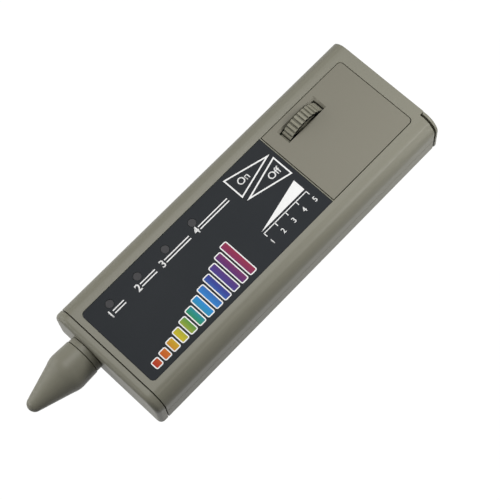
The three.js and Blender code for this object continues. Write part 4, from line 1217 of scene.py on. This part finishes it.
def label_overlay():
    half = label_high.y
    sheet = block("label_sheet", (label_low.x, -half, label_low.z), (label_high.x, half, label_high.z))
    near, upright = lies_at(X, label_low.x), runs_along(Z)
    rounded(sheet, lambda ends: near(ends) and upright(ends), corner_break)
    for corners in (on_corners, off_corners):
        combine(sheet, prism("window", spread(corners, key_room), label_low.z - overrun, case_top + overrun))
    for place in lamp_places:
        combine(sheet, shaft(place, film_hole, label_low.z - overrun, case_top + overrun))
    return break_edges(sheet, film_break, 2)


finish_piece(label_overlay(), film, "case", "label_overlay")

# %% [markdown]
# ## Keys
# Each key is a small triangle of the same film, framed in white, with a post under it that
# reaches the switch. The frame is made by insetting the top face, and only its ring of faces
# takes the white ink. The face inside the frame is then set back a hair for the word to lie on.

# %% Keys
key_post = 1.2 * MM
frame_width = 0.66 * MM
key_growth = 0.06
key_set_back = 0.03 * MM
post_bottom = 20.5 * MM
post_overlap = 0.1 * MM


def key(name, corners):
    pad = prism(name, spread(corners, key_growth), label_low.z, label_high.z)
    pad.data.materials.append(film)
    pad.data.materials.append(white_ink)
    edit(pad, "FACE", lies_at(Z, label_high.z))
    paint_selection(1)
    bpy.ops.mesh.inset(thickness=frame_width, use_even_offset=True)
    paint_selection(0)
    bpy.ops.mesh.extrude_region_move(TRANSFORM_OT_translate={"value": (0, 0, -key_set_back)})
    fresh()
    combine(pad, shaft(middle_of(corners), key_post, post_bottom, label_low.z + post_overlap), "UNION")
    return smooth(pad)


mount(key("key_on", on_corners), "on_button", "on_key")
mount(key("key_off", off_corners), "off_button", "off_key")

# %% [markdown]
# ## Printing on the label
# The lettering and the coloured meter are ink under the film's face. Each is a very thin raised
# shape here, a fiftieth of a millimetre proud, which keeps every edge sharp at any zoom. Words on
# the keys say what they do, the four lamps are simply numbered, and the meter and the level scale
# are plain graphics of the kind any such instrument carries.

# %% Lettering
ink_sink = 0.01 * MM
ink_rise = 0.03 * MM
capital_share = 0.72
ink_weld = 0.0005 * MM


def thicken(piece, rise):
    """Raises a flat shape into a thin closed solid."""
    edit(piece, "FACE", lambda points: True)
    bpy.ops.mesh.remove_doubles(threshold=ink_weld)
    bpy.ops.mesh.extrude_region_move(TRANSFORM_OT_translate={"value": (0, 0, rise)})
    bpy.ops.mesh.select_all(action="SELECT")
    bpy.ops.mesh.normals_make_consistent(inside=False)
    fresh()
    return piece


def letters(name, words, place, height, level, weight=0.0):
    """Words in ink, centred on a place in millimetres, with capitals of a height in millimetres."""
    fresh()
    bpy.ops.object.text_add(location=(along(place[0]), place[1] * MM, level - ink_sink))
    text = bpy.context.active_object
    text.data.body = words
    text.data.size = height * MM / capital_share
    text.data.align_x = "CENTER"
    text.data.align_y = "CENTER"
    text.data.offset = weight * MM
    bpy.ops.object.convert(target="MESH")
    return thicken(settle(name), ink_rise)


def stripe(name, start, end, low, high, level):
    """A thin rule of ink between two places in millimetres."""
    base = level - ink_sink
    return block(name, (along(start), low * MM, base), (along(end), high * MM, base + ink_rise))


def gather(name, pieces):
    """Joins pieces into one."""
    fresh()
    for piece in pieces:
        piece.select_set(True)
    bpy.context.view_layer.objects.active = pieces[0]
    bpy.ops.object.join()
    return settle(name)


key_level = label_high.z - key_set_back
word_height = 3.35
word_weight = 0.06
on_word = letters("word_on", "On", (91.6, 13.4), word_height, key_level, word_weight)
off_word = letters("word_off", "Off", (102.2, 5.6), word_height, key_level, word_weight)
finish_piece(on_word, white_ink, "on_button")
finish_piece(off_word, white_ink, "off_button")

# %% Lamp numbers
lamp_texts = [(10.6, 19.7), (26.3, 37.8), (40.5, 57.8), (60.5, 80.6)]
number_height = 3.5
number_base = 9.9
number_weight = 0.1
number_inset = 1.2
rule_gap = 1.6
rule_thickness = 0.52
rule_rises = (0.9, 2.3)


def lamp_marks():
    """A number for each lamp with a pair of fine rules behind it."""
    level = label_high.z
    marks = []
    for index, (start, end) in enumerate(lamp_texts):
        centre = (start + number_inset, number_base + number_height / 2)
        marks.append(letters("mark", str(index + 1), centre, number_height, level, number_weight))
        for rise in rule_rises:
            low = number_base + rise
            rule_start = start + number_inset + rule_gap
            marks.append(stripe("rule", rule_start, end, low, low + rule_thickness, level))
    return gather("lamp_marks", marks)


finish_piece(lamp_marks(), white_ink, "case")

# %% Level scale
scale_start = 79.5
scale_end = 105.5
scale_base = -16.2
tick_height = 1.7
tick_width = 0.42
scale_steps = 5
scale_number_height = 2.5
scale_number_weight = 0.04
wedge_low = -8.6
wedge_high = -2.6
ruler_low, ruler_high = wedge_low - 1.4, wedge_low - 1.0
tick_top = wedge_low - 1.2


def level_scale():
    """A widening wedge over a ruled scale with numbers."""
    level = label_high.z
    wedge = prism(
        "wedge",
        [(scale_start, wedge_low), (scale_end, wedge_low), (scale_end, wedge_high)],
        level - ink_sink,
        level - ink_sink + ink_rise,
    )
    marks = [wedge, stripe("rule", scale_start, scale_end, ruler_low, ruler_high, level)]
    pitch = (scale_end - scale_start - tick_width) / (scale_steps - 1)
    for step in range(scale_steps):
        start = scale_start + step * pitch
        low = ruler_low - tick_height
        marks.append(stripe("tick", start, start + tick_width, low, tick_top, level))
        centre = (start + tick_width / 2, scale_base + scale_number_height / 2)
        number = letters("number", str(step + 1), centre, scale_number_height, level, scale_number_weight)
        marks.append(number)
    return gather("level_scale", marks)


finish_piece(level_scale(), white_ink, "case")

# %% Coloured meter
meter_bars = 12
meter_base = -18.6
meter_lowest = 4.2
meter_highest = 18.4
meter_growth = 1.25
bar_gap = 0.9
bar_corner = 0.9 * MM
bar_corner_steps = 6
bar_frame = 0.5 * MM


def meter_bar(start, end, height):
    """One bar: coloured inside, framed in white."""
    level = label_high.z - ink_sink
    low = (along(start), meter_base * MM, level)
    piece = block("bar", low, (along(end), (meter_base + height) * MM, level + ink_rise))
    rounded(piece, runs_along(Z), bar_corner, bar_corner_steps)
    piece.data.materials.append(rainbow)
    piece.data.materials.append(white_ink)
    edit(piece, "FACE", lambda points: True)
    paint_selection(1)
    edit(piece, "FACE", lies_at(Z, level + ink_rise))
    bpy.ops.mesh.inset(thickness=bar_frame, use_even_offset=True)
    paint_selection(0)
    fresh()
    return piece


def coloured_meter():
    start, end = meter_start, meter_end
    first = (start - seam) / MM
    pitch = ((end - start) / MM + bar_gap) / meter_bars
    bars = []
    for index in range(meter_bars):
        share = index / (meter_bars - 1)
        height = meter_lowest + share ** meter_growth * (meter_highest - meter_lowest)
        bars.append(meter_bar(first + index * pitch, first + (index + 1) * pitch - bar_gap, height))
    return gather("colour_meter", bars)


mount(coloured_meter(), "case")

# %% [markdown]
# ## Lamps
# A lamp that is off shows as a faint disc, a little lighter than the film round it. Its lens is
# smoked plastic, as matt as the film, so nothing but its tone sets it apart.

# %% Lamp lenses
lens_scale = 900


def smoked_lens():
    finish = Finish("smoked_lens")
    swirl = finish.noise(lens_scale, 2)
    tone = finish.blend(swirl, linear(56, 56, 59), linear(70, 69, 71))
    roughness = wander(swirl, low=0.4, reach=0.1)
    return finish.surface(base_color=tone, roughness=roughness, specular_ior_level=0.15)


lens = smoked_lens()
print("lens ready")

# %% [markdown]
# ## Battery and resistor finishes
# A nine volt block has a dark wrap with a coppery band at its terminal end. A resistor carries
# colour rings. Both are bands along X, so a ramp over the place on the piece draws them.

# %% Banded finishes
band_blur = 0.004
band_dirt = (0.02, 0.02, 0.02, 1)
band_dirt_share = 0.25
band_noise_scale = 500


def banded(name, node, stops, roughness):
    """Bands along a node's length, from a ramp with hard steps."""
    finish = Finish(name)
    low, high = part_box(node)
    scale = 1 / (high.x - low.x)
    place = finish.place(scale=(scale, scale, scale), shift=(-low.x * scale, 0, 0))
    along_node = finish.add("ShaderNodeSeparateXYZ", {}, {"Vector": place})
    ramp = finish.add("ShaderNodeValToRGB", {"stops": stops}, {"Fac": along_node})
    swirl = finish.noise(band_noise_scale, 3)
    tone = finish.blend(swirl * band_dirt_share, ramp, band_dirt)
    return finish.surface(base_color=tone, roughness=wander(swirl, low=roughness, reach=0.14))


def bands(*pieces):
    """Stops with hard steps from pairs of (start, colour)."""
    stops = []
    for (start, colour), (following, _) in zip(pieces, pieces[1:] + ((1.0, None),)):
        stops += [(start, colour), (max(start, following - band_blur), colour)]
    return stops


wrap_black = linear(36, 38, 42)
wrap_copper = linear(184, 120, 66)
lacquer = linear(200, 172, 124)
wrap_bands = bands((0, wrap_copper), (0.26, linear(214, 206, 190)), (0.29, wrap_black))
code_one = bands(
    (0, lacquer), (0.36, linear(120, 60, 30)), (0.41, lacquer), (0.47, linear(24, 24, 24)), (0.52, lacquer),
    (0.58, linear(200, 90, 30)), (0.63, lacquer),
)
code_two = bands(
    (0, lacquer), (0.36, linear(190, 40, 30)), (0.41, lacquer), (0.47, linear(90, 40, 120)), (0.52, lacquer),
    (0.58, linear(190, 150, 60)), (0.63, lacquer),
)
battery_finish = banded("battery_wrap", "battery", wrap_bands, 0.3)
resistor_finish = {
    "resistor_1": banded("resistor_code_one", "resistor_1", code_one, 0.35),
    "resistor_2": banded("resistor_code_two", "resistor_2", code_two, 0.35),
}
print("banded finishes ready")

# %% [markdown]
# ## Dressing the inner pieces
# The parts inside keep their constructed forms, which are right as they are, and take a finish
# each. A table of piece names by finish keeps that in one place.

# %% Finishes for the constructed pieces
chip_black = moulded("chip_epoxy", linear(38, 38, 40), 0.6)
pot_blue = moulded("control_case", linear(44, 78, 128), 0.42)
dressing = {
    "case_screw": steel,
    "indicator_lamp": lens,
    "on_switch": black_plastic,
    "off_switch": black_plastic,
    "on_plunger": white_plastic,
    "off_plunger": white_plastic,
    "main_board": board_finish,
    "amplifier_chip": chip_black,
    "comparator_chip": chip_black,
    "capacitor": can_sleeve,
    "transistor": chip_black,
    "buzzer": black_plastic,
    "board_screw": steel,
    "wheel_shaft": steel,
    "thumbwheel_screw": steel,
    "pot_body": pot_blue,
    "battery_terminals": steel,
    "battery_clip": black_plastic,
    "battery_pad": foam_finish,
    "battery_lead_red": red_sleeve,
    "battery_lead_black": black_sleeve,
    "jack_body": black_plastic,
    "jack_nut": steel,
    "jack_pin": brass,
    "jack_lug": brass,
    "jack_lead_red": red_sleeve,
    "jack_lead_black": black_sleeve,
    "probe_nut": brass,
    "probe_barrel": steel,
    "probe_insulator": ceramic_finish,
    "probe_spring": steel,
    "probe_tip": copper,
    "probe_heater": ceramic_finish,
    "probe_lead_red": red_sleeve,
    "probe_lead_black": black_sleeve,
    "cap_grip_ring": rubber_finish,
}


def finish_for(name):
    """The finish whose piece name fits best, so numbered pieces share one entry."""
    fitting = [key for key in dressing if name.startswith(key)]
    return dressing[max(fitting, key=len)] if fitting else None


construction_angle = 40


def dress(name, material):
    slots = nodes[name].data.materials
    slots.clear()
    slots.append(material)
    smooth(nodes[name], construction_angle)


dress("battery", battery_finish)
for name, material in resistor_finish.items():
    dress(name, material)
dressed = [name for name in nodes if finish_for(name)]
for name in dressed:
    dress(name, finish_for(name))
print("dressed", len(dressed) + 3, "constructed pieces")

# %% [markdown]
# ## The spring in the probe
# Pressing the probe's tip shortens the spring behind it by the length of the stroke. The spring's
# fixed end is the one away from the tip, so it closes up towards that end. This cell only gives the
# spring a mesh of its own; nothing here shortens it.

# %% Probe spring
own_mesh(nodes["probe_spring"])

# %% [markdown]
# ## Floor, light and camera
# A floor and a world that look white give the clean studio look. Their brightness for the camera comes
# from the Light Path node, so the surroundings look white without flooding the object with light.
# A large soft key lamp above models the curves. Four weaker ones, from the front, the left, the
# rear and low at the rear, set how light each side is. Their strengths were fitted to a photograph.

# %% Stage
shadow_share = 0.1
floor_glow = 1.13
floor_clearance = 0.02 * MM
floor_shade = linear(80, 80, 80)
floor_size = 8
floor_cloud_scale = 3
floor_cloud_shade = 1.03


def seen_directly(graph):
    """1 for what the camera, a mirror or glass sees, 0 for light that falls on things."""
    kinds = ("Is Camera Ray", "Is Glossy Ray", "Is Transmission Ray")
    camera_ray, mirror_ray, glass_ray = [graph.add("ShaderNodeLightPath", {}, {}, kind) for kind in kinds]
    return camera_ray.maths("MAXIMUM", camera_ray.maths("MAXIMUM", camera_ray, mirror_ray), glass_ray)


def floor_paint():
    """Pale paint that looks white, with a faint shadow of the object left in it."""
    finish = Finish("floor_paint")
    cloud = finish.noise(floor_cloud_scale)
    tone = finish.blend(cloud, floor_shade, shade(floor_shade, floor_cloud_shade))
    diffuse = finish.add("ShaderNodeBsdfDiffuse", {}, {"Color": tone})
    glow = finish.add("ShaderNodeEmission", {}, {"Strength": floor_glow})
    share = seen_directly(finish) * (1 - shadow_share)
    finish.end(finish.add("ShaderNodeMixShader", {}, {0: share, 1: diffuse, 2: glow}))
    return finish.material


fresh()
bpy.ops.mesh.primitive_plane_add(size=floor_size, location=(0, 0, -floor_clearance))
floor = settle("floor")
floor.data.materials.append(floor_paint())
floor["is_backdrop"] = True
print("floor ready")

# %% World and lamps
def studio_world():
    """White to the eye and in mirrors, and dark as a source of light."""
    world = bpy.data.worlds.new("studio")
    bpy.context.scene.world = world
    world.use_nodes = True
    studio = Graph(world.node_tree)
    white = {"Color": (1, 1, 1, 1), "Strength": seen_directly(studio)}
    studio.end(studio.add("ShaderNodeBackground", {}, white), "ShaderNodeOutputWorld")


def soft_lamp(name, direction, distance, size, radiance):
    """A square lamp that faces the object from a direction, as bright as a surface of that radiance."""
    fresh()
    place = Vector(direction).normalized() * distance + Vector((0, 0, axis_height))
    turn = (-place).to_track_quat("-Z", "Y").to_euler()
    bpy.ops.object.light_add(type="AREA", location=place, rotation=turn)
    lamp = bpy.context.active_object
    lamp.name = name
    lamp.data.size = size
    lamp.data.energy = radiance * math.pi * size ** 2
    lamp.visible_camera = False


# Each lamp: its direction, its distance, its size and its radiance
lamps = {
    "key_lamp": ((0.18, 0.29, 0.94), 1.0, 0.45, 6.8),
    "front_lamp": ((-0.75, 0.5, 0.35), 0.6, 0.27, 4.4),
    "left_lamp": ((-0.3, 0.85, 0.2), 1.1, 0.5, 2.8),
    "rear_lamp": ((0.48, -0.45, 0.61), 0.27, 0.1, 9.3),
    "low_lamp": ((0.75, -0.66, 0.06), 0.21, 0.08, 3.4),
}
studio_world()
for name, (direction, distance, size, radiance) in lamps.items():
    soft_lamp(name, direction, distance, size, radiance)
print("world and lamps ready")

# %% [markdown]
# ## Camera
# The camera looks down at the case from the probe's side. Its axes, place and lens were fitted to
# the case's edges in a photograph, so the frame holds the object as that photograph does.

# %% Camera
camera_right = Vector((0.68888, -0.72335, -0.04710))
camera_up = Vector((0.68984, 0.63423, 0.34911))
camera_forward = Vector((0.22266, 0.27299, -0.93590))
camera_place = Vector((-134.8, -183.9, 617.7)) * MM
sensor_width = 36
lens_length = 110.9
nearest_seen = 0.01

fresh()
bpy.ops.object.camera_add(location=camera_place)
camera = bpy.context.active_object
camera.name = "camera"
basis = Matrix((camera_right, camera_up, -camera_forward)).transposed()
camera.matrix_world = Matrix.Translation(camera_place) @ basis.to_4x4()
camera.data.sensor_width = sensor_width
camera.data.lens = lens_length
camera.data.clip_start = nearest_seen
bpy.context.scene.camera = camera
bpy.context.scene.view_settings.view_transform = "Standard"
print("camera lens", camera.data.lens, "mm")

# %% [markdown]
# ## Growth of the box
# The last cell compares the dressed model's box with the construction's and prints how much it grew.

visual_low, visual_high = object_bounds()
growth = (visual_high - visual_low) - (frame_high - frame_low)
print("box grew by mm", [round(value / MM, 3) for value in growth])
